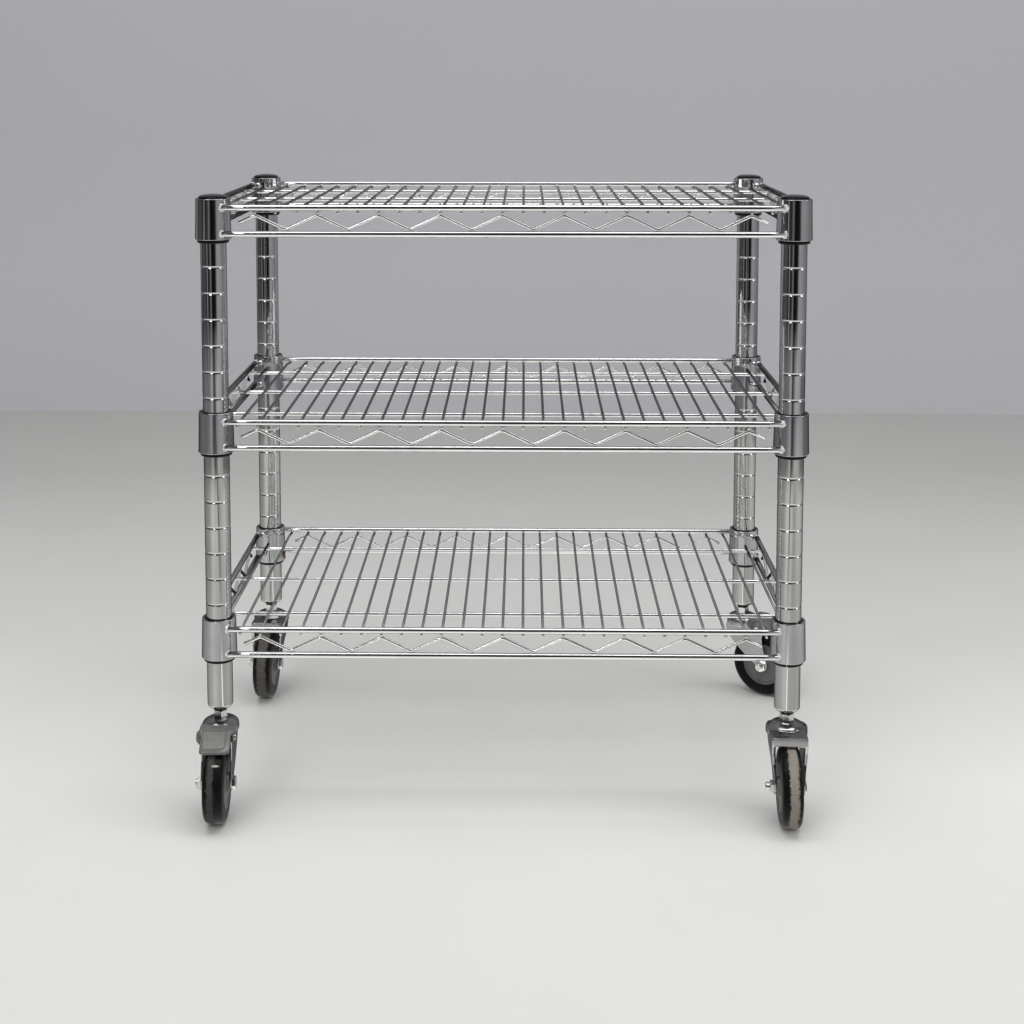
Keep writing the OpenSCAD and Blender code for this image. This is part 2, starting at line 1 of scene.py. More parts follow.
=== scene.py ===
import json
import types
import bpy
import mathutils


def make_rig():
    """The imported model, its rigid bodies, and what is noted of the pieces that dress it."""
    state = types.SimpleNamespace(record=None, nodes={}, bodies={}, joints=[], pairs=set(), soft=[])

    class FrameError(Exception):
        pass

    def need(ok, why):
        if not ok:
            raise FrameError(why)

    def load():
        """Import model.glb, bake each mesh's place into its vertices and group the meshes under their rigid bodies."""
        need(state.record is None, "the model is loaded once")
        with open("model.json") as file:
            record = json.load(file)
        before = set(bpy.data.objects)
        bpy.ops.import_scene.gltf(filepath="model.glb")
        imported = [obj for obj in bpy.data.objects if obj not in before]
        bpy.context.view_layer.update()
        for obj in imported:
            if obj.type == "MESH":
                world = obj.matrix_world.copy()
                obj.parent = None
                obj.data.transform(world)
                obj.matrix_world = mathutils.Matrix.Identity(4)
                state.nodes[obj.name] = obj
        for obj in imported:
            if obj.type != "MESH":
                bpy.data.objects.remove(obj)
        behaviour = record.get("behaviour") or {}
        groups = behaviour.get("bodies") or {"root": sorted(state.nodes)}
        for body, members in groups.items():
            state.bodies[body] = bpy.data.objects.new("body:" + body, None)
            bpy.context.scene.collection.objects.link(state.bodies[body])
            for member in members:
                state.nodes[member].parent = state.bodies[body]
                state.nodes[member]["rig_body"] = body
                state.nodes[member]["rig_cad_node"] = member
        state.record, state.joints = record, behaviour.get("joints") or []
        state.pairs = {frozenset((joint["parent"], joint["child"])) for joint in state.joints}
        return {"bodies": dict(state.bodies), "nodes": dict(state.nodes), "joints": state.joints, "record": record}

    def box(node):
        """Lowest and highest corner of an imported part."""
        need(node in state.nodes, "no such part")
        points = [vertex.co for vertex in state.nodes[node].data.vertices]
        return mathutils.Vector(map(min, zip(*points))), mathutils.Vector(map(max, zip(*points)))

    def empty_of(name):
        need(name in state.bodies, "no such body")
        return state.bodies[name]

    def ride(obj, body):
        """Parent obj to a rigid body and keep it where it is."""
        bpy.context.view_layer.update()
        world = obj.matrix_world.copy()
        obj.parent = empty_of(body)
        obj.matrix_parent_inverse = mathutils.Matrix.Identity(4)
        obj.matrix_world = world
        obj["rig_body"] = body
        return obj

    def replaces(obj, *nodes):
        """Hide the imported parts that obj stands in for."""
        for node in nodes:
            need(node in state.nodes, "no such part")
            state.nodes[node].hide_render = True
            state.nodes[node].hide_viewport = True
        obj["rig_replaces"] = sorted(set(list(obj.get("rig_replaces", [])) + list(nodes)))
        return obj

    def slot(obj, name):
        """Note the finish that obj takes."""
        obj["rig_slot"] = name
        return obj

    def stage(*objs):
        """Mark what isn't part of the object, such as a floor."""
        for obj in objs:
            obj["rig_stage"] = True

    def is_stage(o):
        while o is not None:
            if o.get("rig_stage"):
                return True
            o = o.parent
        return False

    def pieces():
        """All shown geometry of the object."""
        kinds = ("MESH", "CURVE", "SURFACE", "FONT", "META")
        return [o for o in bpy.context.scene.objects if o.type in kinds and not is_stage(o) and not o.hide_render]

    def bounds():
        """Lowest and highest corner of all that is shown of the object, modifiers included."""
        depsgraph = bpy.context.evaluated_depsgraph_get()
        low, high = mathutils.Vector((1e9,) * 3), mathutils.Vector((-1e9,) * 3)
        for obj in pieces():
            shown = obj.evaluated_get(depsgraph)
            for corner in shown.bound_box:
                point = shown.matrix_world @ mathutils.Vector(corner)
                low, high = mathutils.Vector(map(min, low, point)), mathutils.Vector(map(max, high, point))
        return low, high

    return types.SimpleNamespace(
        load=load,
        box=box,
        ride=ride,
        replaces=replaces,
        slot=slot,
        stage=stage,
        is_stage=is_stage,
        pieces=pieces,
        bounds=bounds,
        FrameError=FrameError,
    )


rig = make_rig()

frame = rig.load()

import json
import math
import bpy
import bmesh
from mathutils import Matrix, Vector, noise

CAD_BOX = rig.bounds()
MM = 0.001
NODES = frame["nodes"]
PLACES = ["front_left", "front_right", "back_left", "back_right"]
SHELVES = ["top", "middle", "bottom"]

# ------------------------------------------------------------------ positions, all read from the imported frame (mm)

def mm(node):
    lo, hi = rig.box(node)
    return lo * 1000, hi * 1000

AXIS = {}
for p in PLACES:
    lo, hi = mm("post_" + p)
    AXIS[p] = ((lo.x + hi.x) / 2, (lo.y + hi.y) / 2)
POST_R = (mm("post_front_left")[1].x - mm("post_front_left")[0].x) / 2
POST_BASE, POST_TOP = mm("post_front_left")[0].z, mm("post_front_left")[1].z
HX, HY = abs(AXIS["front_left"][0]), abs(AXIS["front_left"][1])
COLLAR_Z = {s: mm(s + "_shelf_collars")[0].z for s in SHELVES}
COLLAR_H = mm("top_shelf_collars")[1].z - mm("top_shelf_collars")[0].z
COLLAR_RO = mm("top_shelf_collars")[1].x - HX          # outside radius at the bottom rim
RAIL_R = 3.0
ROD = {}
for s in SHELVES:
    lo, hi = mm(s + "_shelf_frame_rods")
    ROD[s] = dict(z=hi.z - RAIL_R, z2=lo.z + RAIL_R, x=hi.x - RAIL_R, y=hi.y - RAIL_R)
ROD_END = 11.0
DECK_R, SUP_R, TRUSS_R = 1.35, 2.0, 1.6
TRUSS_DZ = {}
PITCH = 19.6
GROOVE0, GROOVE_P, GROOVES = 15.3, 25.4, 18

# ------------------------------------------------------------------ mesh tools (work in mm, written in metres)

class Shells:
    """Collects closed shells into one mesh."""

    def __init__(self):
        self.v, self.f = [], []

    def add(self, p):
        self.v.append(Vector(p))
        return len(self.v) - 1

    def bridge(self, a, b):
        n = max(len(a), len(b))
        for i in range(n):
            j = (i + 1) % n
            if len(a) == 1:
                self.f.append((a[0], b[j], b[i]))
            elif len(b) == 1:
                self.f.append((a[i], a[j], b[0]))
            else:
                self.f.append((a[i], a[j], b[j], b[i]))

    def object(self, name, origin=None, sharp=40.0, warp=None):
        me = bpy.data.meshes.new(name)
        vs = [warp(p) for p in self.v] if warp else self.v
        me.from_pydata([tuple(p * MM) for p in vs], [], self.f)
        bm = bmesh.new()
        bm.from_mesh(me)
        bmesh.ops.remove_doubles(bm, verts=bm.verts, dist=1e-7)
        bmesh.ops.recalc_face_normals(bm, faces=bm.faces)
        for f in bm.faces:
            f.smooth = True
        lim = math.radians(sharp)
        for e in bm.edges:
            if len(e.link_faces) == 2 and e.calc_face_angle(0) > lim:
                e.smooth = False
        bm.to_mesh(me)
        bm.free()
        ob = bpy.data.objects.new(name, me)
        bpy.context.scene.collection.objects.link(ob)
        if origin is not None:
            ob.matrix_world = origin
        return ob


def dense(prof, e=0.22):
    """Adds points just inside the ends of long section edges, so that shading stays flat along them."""
    out = []
    for i, p in enumerate(prof):
        q = prof[(i + 1) % len(prof)]
        out.append(p)
        d = math.hypot(q[0] - p[0], q[1] - p[1])
        if d > 4 * e:
            for t in (e / d, 1 - e / d):
                out.append((p[0] + (q[0] - p[0]) * t, p[1] + (q[1] - p[1]) * t))
    return out


def revolve(b, prof, m=Matrix.Identity(4), n=96, closed=True):
    """Turns a section of (radius, height) points about local Z."""
    rings = []
    prof = dense(prof) if closed and prof[0][0] > 1e-6 else prof
    for r, z in prof:
        if r < 1e-6:
            rings.append([b.add(m @ Vector((0, 0, z)))])
        else:
            rings.append([b.add(m @ Vector((r * math.cos(a), r * math.sin(a), z))) for a in (2 * math.pi * i / n for i in range(n))])
    for i in range(len(rings) - (0 if closed else 1)):
        a, c = rings[i], rings[(i + 1) % len(rings)]
        if len(a) == 1 and len(c) == 1:
            continue
        b.bridge(a, c)


def arc(cx, cz, r, a0, a1, n, rz=None):
    """Points of (radius, height) along an arc, in degrees."""
    rz = r if rz is None else rz
    return [(cx + r * math.cos(math.radians(a0 + (a1 - a0) * i / n)), cz + rz * math.sin(math.radians(a0 + (a1 - a0) * i / n))) for i in range(n + 1)]


def fillet(pts, radius, segs=6):
    """Rounds the inner corners of a 3-D path."""
    out = [Vector(pts[0])]
    for i in range(1, len(pts) - 1):
        p, a, c = Vector(pts[i]), Vector(pts[i - 1]), Vector(pts[i + 1])
        u, w = (a - p).normalized(), (c - p).normalized()
        half = u.angle(w) / 2
        if abs(half - math.pi / 2) < 1e-3:
            out.append(p)
            continue
        d = min(radius / math.tan(half), (a - p).length * 0.48, (c - p).length * 0.48)
        rr = d * math.tan(half)
        o = p + (u + w).normalized() * (rr / math.sin(half))
        s, e = p + u * d - o, p + w * d - o
        ang = s.angle(e)
        for k in range(segs + 1):
            t = k / segs
            out.append(o + (s * math.sin((1 - t) * ang) + e * math.sin(t * ang)) / math.sin(ang))
    out.append(Vector(pts[-1]))
    return out


def tube(b, pts, r, n=14, ends=0.22):
    """Sweeps a round wire along a path, with a slightly worn cut face at each end."""
    pts = [Vector(p) for p in pts]
    tan = []
    for i in range(len(pts)):
        a, c = pts[max(i - 1, 0)], pts[min(i + 1, len(pts) - 1)]
        tan.append((c - a).normalized())
    side = tan[0].orthogonal().normalized()
    rings = []

    def ring(p, t, s, k):
        q = t.cross(s)
        return [b.add(p + (s * math.cos(a) + q * math.sin(a)) * k) for a in (2 * math.pi * j / n for j in range(n))]

    first = [b.add(pts[0] - tan[0] * 0.0)]
    rings.append(first)
    for i, p in enumerate(pts):
        if i:
            side = (side - tan[i] * side.dot(tan[i])).normalized()
        if i == 0:
            rings.append(ring(p, tan[0], side, r * (1 - ends)))
            rings.append(ring(p + tan[0] * r * ends, tan[0], side, r))
        elif i == len(pts) - 1:
            rings.append(ring(p - tan[i] * r * ends, tan[i], side, r))
            rings.append(ring(p, tan[i], side, r * (1 - ends)))
        else:
            rings.append(ring(p, tan[i], side, r))
    rings.append([b.add(pts[-1])])
    for i in range(len(rings) - 1):
        b.bridge(rings[i], rings[i + 1])


def blob(b, p, r, seed=0.0, rough=0.0, axes=None, n=12, m=8, freq=0.6):
    """A lumpy closed weld bead."""
    ax = axes or (Vector((1, 0, 0)), Vector((0, 1, 0)), Vector((0, 0, 1)))
    rings = []
    for i in range(m + 1):
        th = math.pi * i / m
        row = []
        for j in range(1 if i in (0, m) else n):
            ph = 2 * math.pi * j / n
            d = Vector((math.sin(th) * math.cos(ph), math.sin(th) * math.sin(ph), math.cos(th)))
            k = 1 + rough * noise.noise(d * freq * 3 + Vector((seed, seed * 1.7, seed * 0.3)))
            row.append(b.add(Vector(p) + (ax[0] * d.x * r[0] + ax[1] * d.y * r[1] + ax[2] * d.z * r[2]) * k))
        rings.append(row)
    for i in range(m):
        b.bridge(rings[i], rings[i + 1])


def hexbody(b, m, af, h, chamfer=0.12, both=True, per=8):
    """Hexagonal head or nut along local Z from 0 to h, with turned chamfers."""
    n = 6 * per
    ri = af / 2
    rc = ri / math.cos(math.pi / 6)
    rt = ri * (1 - chamfer * 0.35)

    def rad(i):
        a = (i % per) / per * math.pi / 3 - math.pi / 6
        return ri / math.cos(a)

    def pt(i, r, z):
        a = 2 * math.pi * i / n - math.pi / 6
        return b.add(m @ Vector((r * math.cos(a), r * math.sin(a), z)))

    def cut(i):
        return max(0.0, (rad(i) - rt)) * 0.52

    rings = [[b.add(m @ Vector((0, 0, 0)))]]
    if both:
        rings.append([pt(i, rt, 0) for i in range(n)])
        rings.append([pt(i, rad(i), cut(i)) for i in range(n)])
    else:
        rings.append([pt(i, rad(i), 0) for i in range(n)])
    rings.append([pt(i, rad(i), h - cut(i)) for i in range(n)])
    rings.append([pt(i, rt, h) for i in range(n)])
    rings.append([b.add(m @ Vector((0, 0, h)))])
    for i in range(len(rings) - 1):
        b.bridge(rings[i], rings[i + 1])


def round_poly(pts, rads, segs=5):
    """Rounds the corners of a closed 2-D outline."""
    out = []
    n = len(pts)
    for i in range(n):
        r = rads[i] if isinstance(rads, (list, tuple)) else rads
        p, a, c = Vector(pts[i]), Vector(pts[i - 1]), Vector(pts[(i + 1) % n])
        if r < 1e-4:
            out.append(p)
            continue
        u, w = (a - p).normalized(), (c - p).normalized()
        half = u.angle(w) / 2
        if half > math.radians(88):
            out.append(p)
            continue
        d = min(r / math.tan(half), (a - p).length * 0.47, (c - p).length * 0.47)
        rr = d * math.tan(half)
        o = p + (u + w).normalized() * (rr / math.sin(half))
        s, e = p + u * d - o, p + w * d - o
        ang = s.angle(e)
        for k in range(segs + 1):
            t = k / segs
            out.append(o + (s * math.sin((1 - t) * ang) + e * math.sin(t * ang)) / math.sin(ang))
    return out


def slab(b, outline, t, place, bevel=0.0):
    """Extrudes a 2-D outline by t; place maps (u, v, w) to a point."""
    n = len(outline)
    area = sum(outline[i].x * outline[(i + 1) % n].y - outline[(i + 1) % n].x * outline[i].y for i in range(n))
    s = 1 if area > 0 else -1

    def inset(e):
        res = []
        for i in range(n):
            a, p, c = outline[i - 1], outline[i], outline[(i + 1) % n]
            d = ((p - a).normalized() + (c - p).normalized()).normalized()
            res.append(p + Vector((-d.y, d.x)) * s * e)
        return res

    levels = [(0.0, bevel), (bevel, 0.0), (t - bevel, 0.0), (t, bevel)] if bevel > 0 else [(0.0, 0.0), (t, 0.0)]
    rings = [[b.add(place(q.x, q.y, w)) for q in inset(e)] for w, e in levels]
    for i in range(len(rings) - 1):
        b.bridge(rings[i], rings[i + 1])
    b.f.append(tuple(rings[0]))
    b.f.append(tuple(reversed(rings[-1])))


def remeshed(b, name, voxel, smooth=3, cut=None):
    """Fuses the shells into one skin with soft inner corners, like pressed sheet."""
    ob = b.object(name + "_src")
    tri = ob.modifiers.new("t", "TRIANGULATE")
    tri.ngon_method = "BEAUTY"
    rm = ob.modifiers.new("r", "REMESH")
    rm.mode = "VOXEL"
    rm.voxel_size = voxel * MM
    sm = ob.modifiers.new("s", "SMOOTH")
    sm.factor, sm.iterations = 0.5, smooth
    dg = bpy.context.evaluated_depsgraph_get()
    me = bpy.data.meshes.new_from_object(ob.evaluated_get(dg))
    bpy.data.objects.remove(ob)
    me.name = name
    for f in me.polygons:
        f.use_smooth = True
    res = bpy.data.objects.new(name, me)
    bpy.context.scene.collection.objects.link(res)
    return res

# ------------------------------------------------------------------ materials

class Mat:
    def __init__(self, name):
        self.m = bpy.data.materials.new(name)
        self.m.use_nodes = True
        self.t = self.m.node_tree
        self.bsdf = self.t.nodes["Principled BSDF"]

    def node(self, kind, **kw):
        n = self.t.nodes.new(kind)
        for k, v in kw.items():
            setattr(n, k, v)
        return n

    def link(self, a, b):
        self.t.links.new(a, b)

    def coords(self):
        """Position in the piece's own frame, kept on the mesh when the piece is turned into place."""
        if self.m.name.startswith(("tyre", "hub", "pedal", "fork")):
            return self.node("ShaderNodeAttribute", attribute_name="loc").outputs["Vector"]
        return self.node("ShaderNodeTexCoord").outputs["Object"]

    def noise(self, scale, detail=4, rough=0.6, stretch=None, distort=0.0):
        n = self.node("ShaderNodeTexNoise")
        n.inputs["Scale"].default_value = scale
        n.inputs["Detail"].default_value = detail
        n.inputs["Roughness"].default_value = rough
        n.inputs["Distortion"].default_value = distort
        src = self.coords()
        if stretch:
            mp = self.node("ShaderNodeMapping")
            mp.inputs["Scale"].default_value = stretch
            self.link(src, mp.inputs["Vector"])
            src = mp.outputs["Vector"]
        self.link(src, n.inputs["Vector"])
        return n.outputs["Fac"]

    def ramp(self, src, stops):
        r = self.node("ShaderNodeValToRGB")
        e = r.color_ramp.elements
        while len(e) < len(stops):
            e.new(0.5)
        for k, (pos, col) in zip(e, stops):
            k.position = pos
            k.color = (col, col, col, 1) if isinstance(col, (int, float)) else (*col, 1)
        self.link(src, r.inputs["Fac"])
        return r.outputs["Color"]

    def math(self, op, a, b=None, c=None, clamp=False):
        n = self.node("ShaderNodeMath", operation=op, use_clamp=clamp)
        for i, x in enumerate((a, b, c)):
            if x is None:
                continue
            if isinstance(x, (int, float)):
                n.inputs[i].default_value = x
            else:
                self.link(x, n.inputs[i])
        return n.outputs[0]

    def mix(self, fac, a, b):
        n = self.node("ShaderNodeMix", data_type="RGBA")
        for s, x in ((0, fac), (6, a), (7, b)):
            if isinstance(x, (int, float)) and s == 0:
                n.inputs[s].default_value = x
            elif isinstance(x, (tuple, list)):
                n.inputs[s].default_value = (*x, 1)
            else:
                self.link(x, n.inputs[s])
        return n.outputs[2]

    def xyz(self):
        n = self.node("ShaderNodeSeparateXYZ")
        self.link(self.coords(), n.inputs[0])
        return n.outputs

    def near(self, p, r, stretch=(1, 1, 1)):
        """1 at point p (m), fading to 0 at distance r."""
        mp = self.node("ShaderNodeMapping")
        mp.inputs["Location"].default_value = tuple(-a * b for a, b in zip(p, stretch))
        mp.inputs["Scale"].default_value = stretch
        self.link(self.coords(), mp.inputs["Vector"])
        ln = self.node("ShaderNodeVectorMath", operation="LENGTH")
        self.link(mp.outputs["Vector"], ln.inputs[0])
        return self.math("SUBTRACT", 1.0, self.math("DIVIDE", ln.outputs["Value"], r), clamp=True)

    def bump(self, height, strength, dist=0.0002):
        n = self.node("ShaderNodeBump")
        n.inputs["Strength"].default_value = strength
        n.inputs["Distance"].default_value = dist
        self.link(height, n.inputs["Height"])
        if self.bsdf.inputs["Normal"].links:
            self.link(self.bsdf.inputs["Normal"].links[0].from_socket, n.inputs["Normal"])
        self.link(n.outputs["Normal"], self.bsdf.inputs["Normal"])

    def set(self, **kw):
        for k, v in kw.items():
            s = self.bsdf.inputs[k.replace("_", " ")]
            if isinstance(v, (int, float)):
                s.default_value = v
            elif isinstance(v, tuple):
                s.default_value = (*v, 1) if len(v) == 3 else v
            else:
                self.link(v, s)


def chrome(name, light=(0.62, 0.625, 0.635), dark=(0.50, 0.505, 0.515), rough=(0.05, 0.16), wave=0.05, scratch=0.12, stains=(), along=(1, 1, 0.03), rim=0.22, pitted=0.55, tint=0.30):
    """Bright plating: cloudy tone, fine drawn scratches, a faint surface waviness, a painted dark outline at grazing
    angles standing in for dark reflections there, and optional brown stains at given points.
    """
    m = Mat(name)
    cloud = m.noise(14, 5, 0.6)
    fine = m.noise(520, 3, 0.7, stretch=along)
    specks = m.noise(900, 2, 0.5)
    col = m.mix(m.ramp(cloud, [(0.35, 0.0), (0.7, 1.0)]), light, dark)
    pits = m.ramp(specks, [(0.70, 0.0), (0.76, 1.0)])
    col = m.mix(m.math("MULTIPLY", pits, pitted), col, (0.24, 0.22, 0.20))
    rgh = m.math("ADD", m.math("MULTIPLY", m.ramp(fine, [(0.4, 0.0), (0.7, 1.0)]), rough[1] - rough[0]), rough[0])
    for p, r, k in stains:
        edge = m.math("MULTIPLY", m.near(p, r), m.math("MULTIPLY", m.noise(420, 5, 0.75), 2.1), clamp=True)
        s = m.math("MULTIPLY", m.ramp(edge, [(0.30, 0.0), (0.62, 1.0)]), k)
        col = m.mix(s, col, (0.17, 0.085, 0.045))
        rgh = m.math("ADD", rgh, m.math("MULTIPLY", s, 0.4))
    # painted shade: at grazing angles the colour is pulled down to the rim tone, a painted dark reflection along every
    # edge
    face = m.node("ShaderNodeLayerWeight")
    face.inputs["Blend"].default_value = 0.5
    edge = m.ramp(face.outputs["Facing"], [(0.62, 0.0), (0.90, 1.0)])
    col = m.mix(edge, col, (rim, rim, rim * 1.02))
    m.set(Base_Color=col, Metallic=1.0, Roughness=rgh, Specular_Tint=(tint, tint, tint * 1.02))
    if wave:
        m.bump(m.noise(9, 2, 0.4), wave, 0.004)
    m.bump(fine, scratch, 0.00004)
    return m


def black_plastic(name, gloss=0.22, col=(0.012, 0.012, 0.013), grain=0.15):
    m = Mat(name)
    n = m.noise(60, 5, 0.6)
    g = m.noise(1800, 2, 0.5)
    dust = m.ramp(m.noise(35, 6, 0.7), [(0.45, 0.0), (0.85, 1.0)])
    m.set(Base_Color=m.mix(m.math("MULTIPLY", dust, 0.25), col, (0.022, 0.021, 0.020)),
          Roughness=m.math("ADD", m.math("MULTIPLY", n, 0.22), gloss - 0.08), Specular_IOR_Level=0.28)
    m.bump(g, grain, 0.00003)
    return m


M = {}
stain_bl = (AXIS["back_left"][0] * MM + 0.0155, AXIS["back_left"][1] * MM - 0.004, (COLLAR_Z["bottom"] + 9) * MM)
M["post"] = chrome("post_chrome", light=(0.65, 0.655, 0.648), dark=(0.55, 0.554, 0.547), rough=(0.03, 0.10), wave=0.03, rim=0.16)
M["collar"] = chrome("collar_chrome", light=(0.64, 0.645, 0.655), dark=(0.50, 0.505, 0.515), wave=0.07, rough=(0.06, 0.2), rim=0.14,
                     stains=[(stain_bl, 0.011, 0.9),
                             ((AXIS["front_left"][0] * MM + 0.013, AXIS["front_left"][1] * MM - 0.013, (COLLAR_Z["bottom"] + 4) * MM), 0.006, 0.5)])
M["weld"] = chrome("weld_chrome", light=(1.0, 1.0, 0.99), dark=(0.80, 0.80, 0.79), rough=(0.22, 0.42), wave=0.1, scratch=0.5, along=(1, 1, 1), rim=0.62, pitted=0.2, tint=0.9)
M["weld"].set(Metallic=0.5)
M["wire"] = chrome("wire_chrome", light=(0.90, 0.895, 0.90), dark=(0.78, 0.775, 0.78), rough=(0.10, 0.20), wave=0.0, scratch=0.05, along=(1, 1, 1), rim=0.10, pitted=0.35)
M["truss"] = chrome("truss_chrome", light=(1.0, 0.995, 0.995), dark=(0.90, 0.895, 0.895), rough=(0.14, 0.22), wave=0.0, scratch=0.05, along=(1, 1, 1), rim=0.02, pitted=0.2, tint=0.10)
M["deck"] = chrome("deck_chrome", light=(0.84, 0.84, 0.845), dark=(0.70, 0.70, 0.705), rough=(0.14, 0.26), wave=0.0, scratch=0.05, along=(1, 1, 1), rim=0.26, pitted=0.35)
M["zinc"] = chrome("fastener_zinc", light=(0.98, 0.98, 0.97), dark=(0.82, 0.81, 0.78), rough=(0.16, 0.30), wave=0.02, scratch=0.3, along=(1, 1, 1), rim=0.5, tint=0.7)
M["fork"] = chrome("fork_chrome", light=(0.56, 0.56, 0.565), dark=(0.46, 0.455, 0.45), rough=(0.12, 0.22), wave=0.03, scratch=0.10, along=(1, 1, 1), rim=0.10, pitted=0.3)
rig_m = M["fork"]
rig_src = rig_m.bsdf.inputs["Base Color"].links[0].from_socket
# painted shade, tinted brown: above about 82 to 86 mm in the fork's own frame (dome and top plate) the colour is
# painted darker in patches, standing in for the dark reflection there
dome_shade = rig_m.math("MULTIPLY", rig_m.ramp(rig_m.math("MULTIPLY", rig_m.xyz()[2], 10.0), [(0.815, 0.0), (0.855, 1.0)]),
                  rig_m.ramp(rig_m.noise(70, 4, 0.6), [(0.30, 0.72), (0.60, 1.0)]))
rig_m.set(Base_Color=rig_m.mix(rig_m.math("MULTIPLY", dome_shade, 0.68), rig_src, (0.17, 0.155, 0.145)))
M["cap"] = black_plastic("cap_plastic", 0.16, (0.004, 0.004, 0.005))
M["sleeve"] = black_plastic("sleeve_plastic", 0.40, (0.003, 0.003, 0.003))
M["washer"] = black_plastic("washer_plastic", 0.36, (0.003, 0.003, 0.003))


def pedal_material():
    m = Mat("pedal_steel")
    cloud = m.noise(38, 6, 0.65)
    rub = m.ramp(m.noise(240, 5, 0.7, stretch=(1, 0.25, 1)), [(0.56, 0.0), (0.72, 1.0)])
    col = m.mix(m.ramp(cloud, [(0.3, 0.0), (0.75, 1.0)]), (0.172, 0.172, 0.164), (0.100, 0.101, 0.096))
    col = m.mix(m.math("MULTIPLY", rub, 0.35), col, (0.30, 0.298, 0.29))
    m.set(Base_Color=col, Metallic=0.3, Roughness=m.math("ADD", m.math("MULTIPLY", cloud, 0.3), 0.30))
    m.bump(m.noise(700, 4, 0.6), 0.25, 0.00006)
    return m


def hub_material():
    m = Mat("hub_plastic")
    cloud = m.noise(55, 6, 0.7)
    x = m.xyz()
    rad = m.math("SQRT", m.math("ADD", m.math("POWER", x[1], 2.0), m.math("POWER", x[2], 2.0)))
    # painted shade: the hub face is painted darker round its middle and towards its rim, where it meets the tyre
    hub_shade = m.ramp(m.math("MULTIPLY", rad, 40.0), [(0.30, 1.0), (0.40, 0.25), (0.78, 0.15), (0.93, 0.9)])
    col = m.mix(m.ramp(cloud, [(0.3, 0.0), (0.75, 1.0)]), (0.150, 0.151, 0.152), (0.105, 0.106, 0.107))
    col = m.mix(m.math("MULTIPLY", hub_shade, 0.55), col, (0.045, 0.043, 0.042))
    m.set(Base_Color=col, Roughness=m.math("ADD", m.math("MULTIPLY", cloud, 0.25), 0.35))
    m.bump(m.noise(1300, 3, 0.6), 0.2, 0.00004)
    return m


def tyre_material(name, worn, half=0.0055, tone=(0.19, 0.155, 0.132), scuff=None, shift=0.0004):
    """Black rubber with a paler scuffed band round the tread."""
    m = Mat(name)
    x = m.xyz()
    rad = m.math("SQRT", m.math("ADD", m.math("POWER", x[1], 2.0), m.math("POWER", x[2], 2.0)))
    wob = m.math("MULTIPLY", m.math("SUBTRACT", m.noise(70, 5, 0.7), 0.5), 0.0050)
    rag = m.math("MULTIPLY", m.math("SUBTRACT", m.noise(520, 5, 0.85), 0.5), 0.0105)
    off = m.math("ADD", m.math("ABSOLUTE", m.math("ADD", m.math("ADD", x[0], wob), -shift)), rag)
    band = m.math("MULTIPLY", m.ramp(m.math("MULTIPLY", off, 100.0), [(half * 88, 1.0), (half * 118, 0.0)]),
                  m.ramp(m.math("MULTIPLY", rad, 10.0), [(0.362, 0.0), (0.369, 1.0)]))
    grit = m.noise(620, 5, 0.75)
    fleck = m.ramp(m.noise(1500, 3, 0.6), [(0.62, 0.0), (0.67, 1.0)])
    dark = m.ramp(m.noise(800, 3, 0.6), [(0.30, 1.0), (0.40, 0.0)])
    dust = m.math("MULTIPLY", band, m.math("ADD", m.math("MULTIPLY", grit, 0.7), 0.52), clamp=True)
    base = m.mix(m.ramp(m.noise(45, 6, 0.7), [(0.35, 0.0), (0.8, 1.0)]), (0.0016, 0.0016, 0.0022), (0.007, 0.0069, 0.0074))
    col = m.mix(m.math("MULTIPLY", dust, worn), base, tone)
    col = m.mix(m.math("MULTIPLY", m.math("MULTIPLY", dark, band), 0.55), col, (0.03, 0.026, 0.023))
    col = m.mix(m.math("MULTIPLY", m.math("MULTIPLY", fleck, m.math("ADD", m.math("MULTIPLY", band, 0.8), 0.12)), 0.6 * worn), col, (0.46, 0.43, 0.39))
    if scuff:
        mark = m.math("SUBTRACT", m.math("MULTIPLY", m.near(scuff, 0.0085, (0.8, 2.6, 2.6)), 1.35), m.math("MULTIPLY", m.noise(560, 6, 0.9), 1.25), clamp=True)
        col = m.mix(m.ramp(mark, [(0.22, 0.0), (0.38, 0.8)]), col, (0.50, 0.49, 0.45))
    m.set(Base_Color=col, Roughness=m.math("ADD", m.math("MULTIPLY", dust, 0.35), 0.42), Specular_IOR_Level=0.13)
    m.bump(grit, 0.45, 0.00016)
    return m


M["pedal"] = pedal_material()
M["hub"] = hub_material()
M["tyre_front_left"] = tyre_material("tyre_rubber_front_left", 0.40, 0.0030, (0.135, 0.13, 0.118), (0.0022, -0.0252, 0.0277), -0.0022)
M["tyre_front_right"] = tyre_material("tyre_rubber_front_right", 1.0, 0.0042, (0.275, 0.245, 0.212), None, 0.0013)
M["tyre_back_left"] = tyre_material("tyre_rubber_back_left", 0.62, 0.0050, (0.16, 0.145, 0.13))
M["tyre_back_right"] = tyre_material("tyre_rubber_back_right", 0.5)

BODY = {n: o["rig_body"] for n, o in NODES.items()}


def finish_piece(ob, mat, slot, *nodes):
    loc = ob.data.attributes.new("loc", "FLOAT_VECTOR", "POINT")
    flat_co = [0.0] * (3 * len(ob.data.vertices))
    ob.data.vertices.foreach_get("co", flat_co)
    loc.data.foreach_set("vector", flat_co)
    ob.data.transform(ob.matrix_world)
    ob.matrix_world = Matrix.Identity(4)
    ob.data.materials.clear()
    ob.data.materials.append(mat.m)
    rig.ride(ob, BODY[nodes[0]])
    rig.replaces(ob, *nodes)
    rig.slot(ob, slot)
    return ob


def keep(node, mat):
    o = NODES[node]
    o.data.materials.clear()
    o.data.materials.append(mat.m)

# ------------------------------------------------------------------ posts

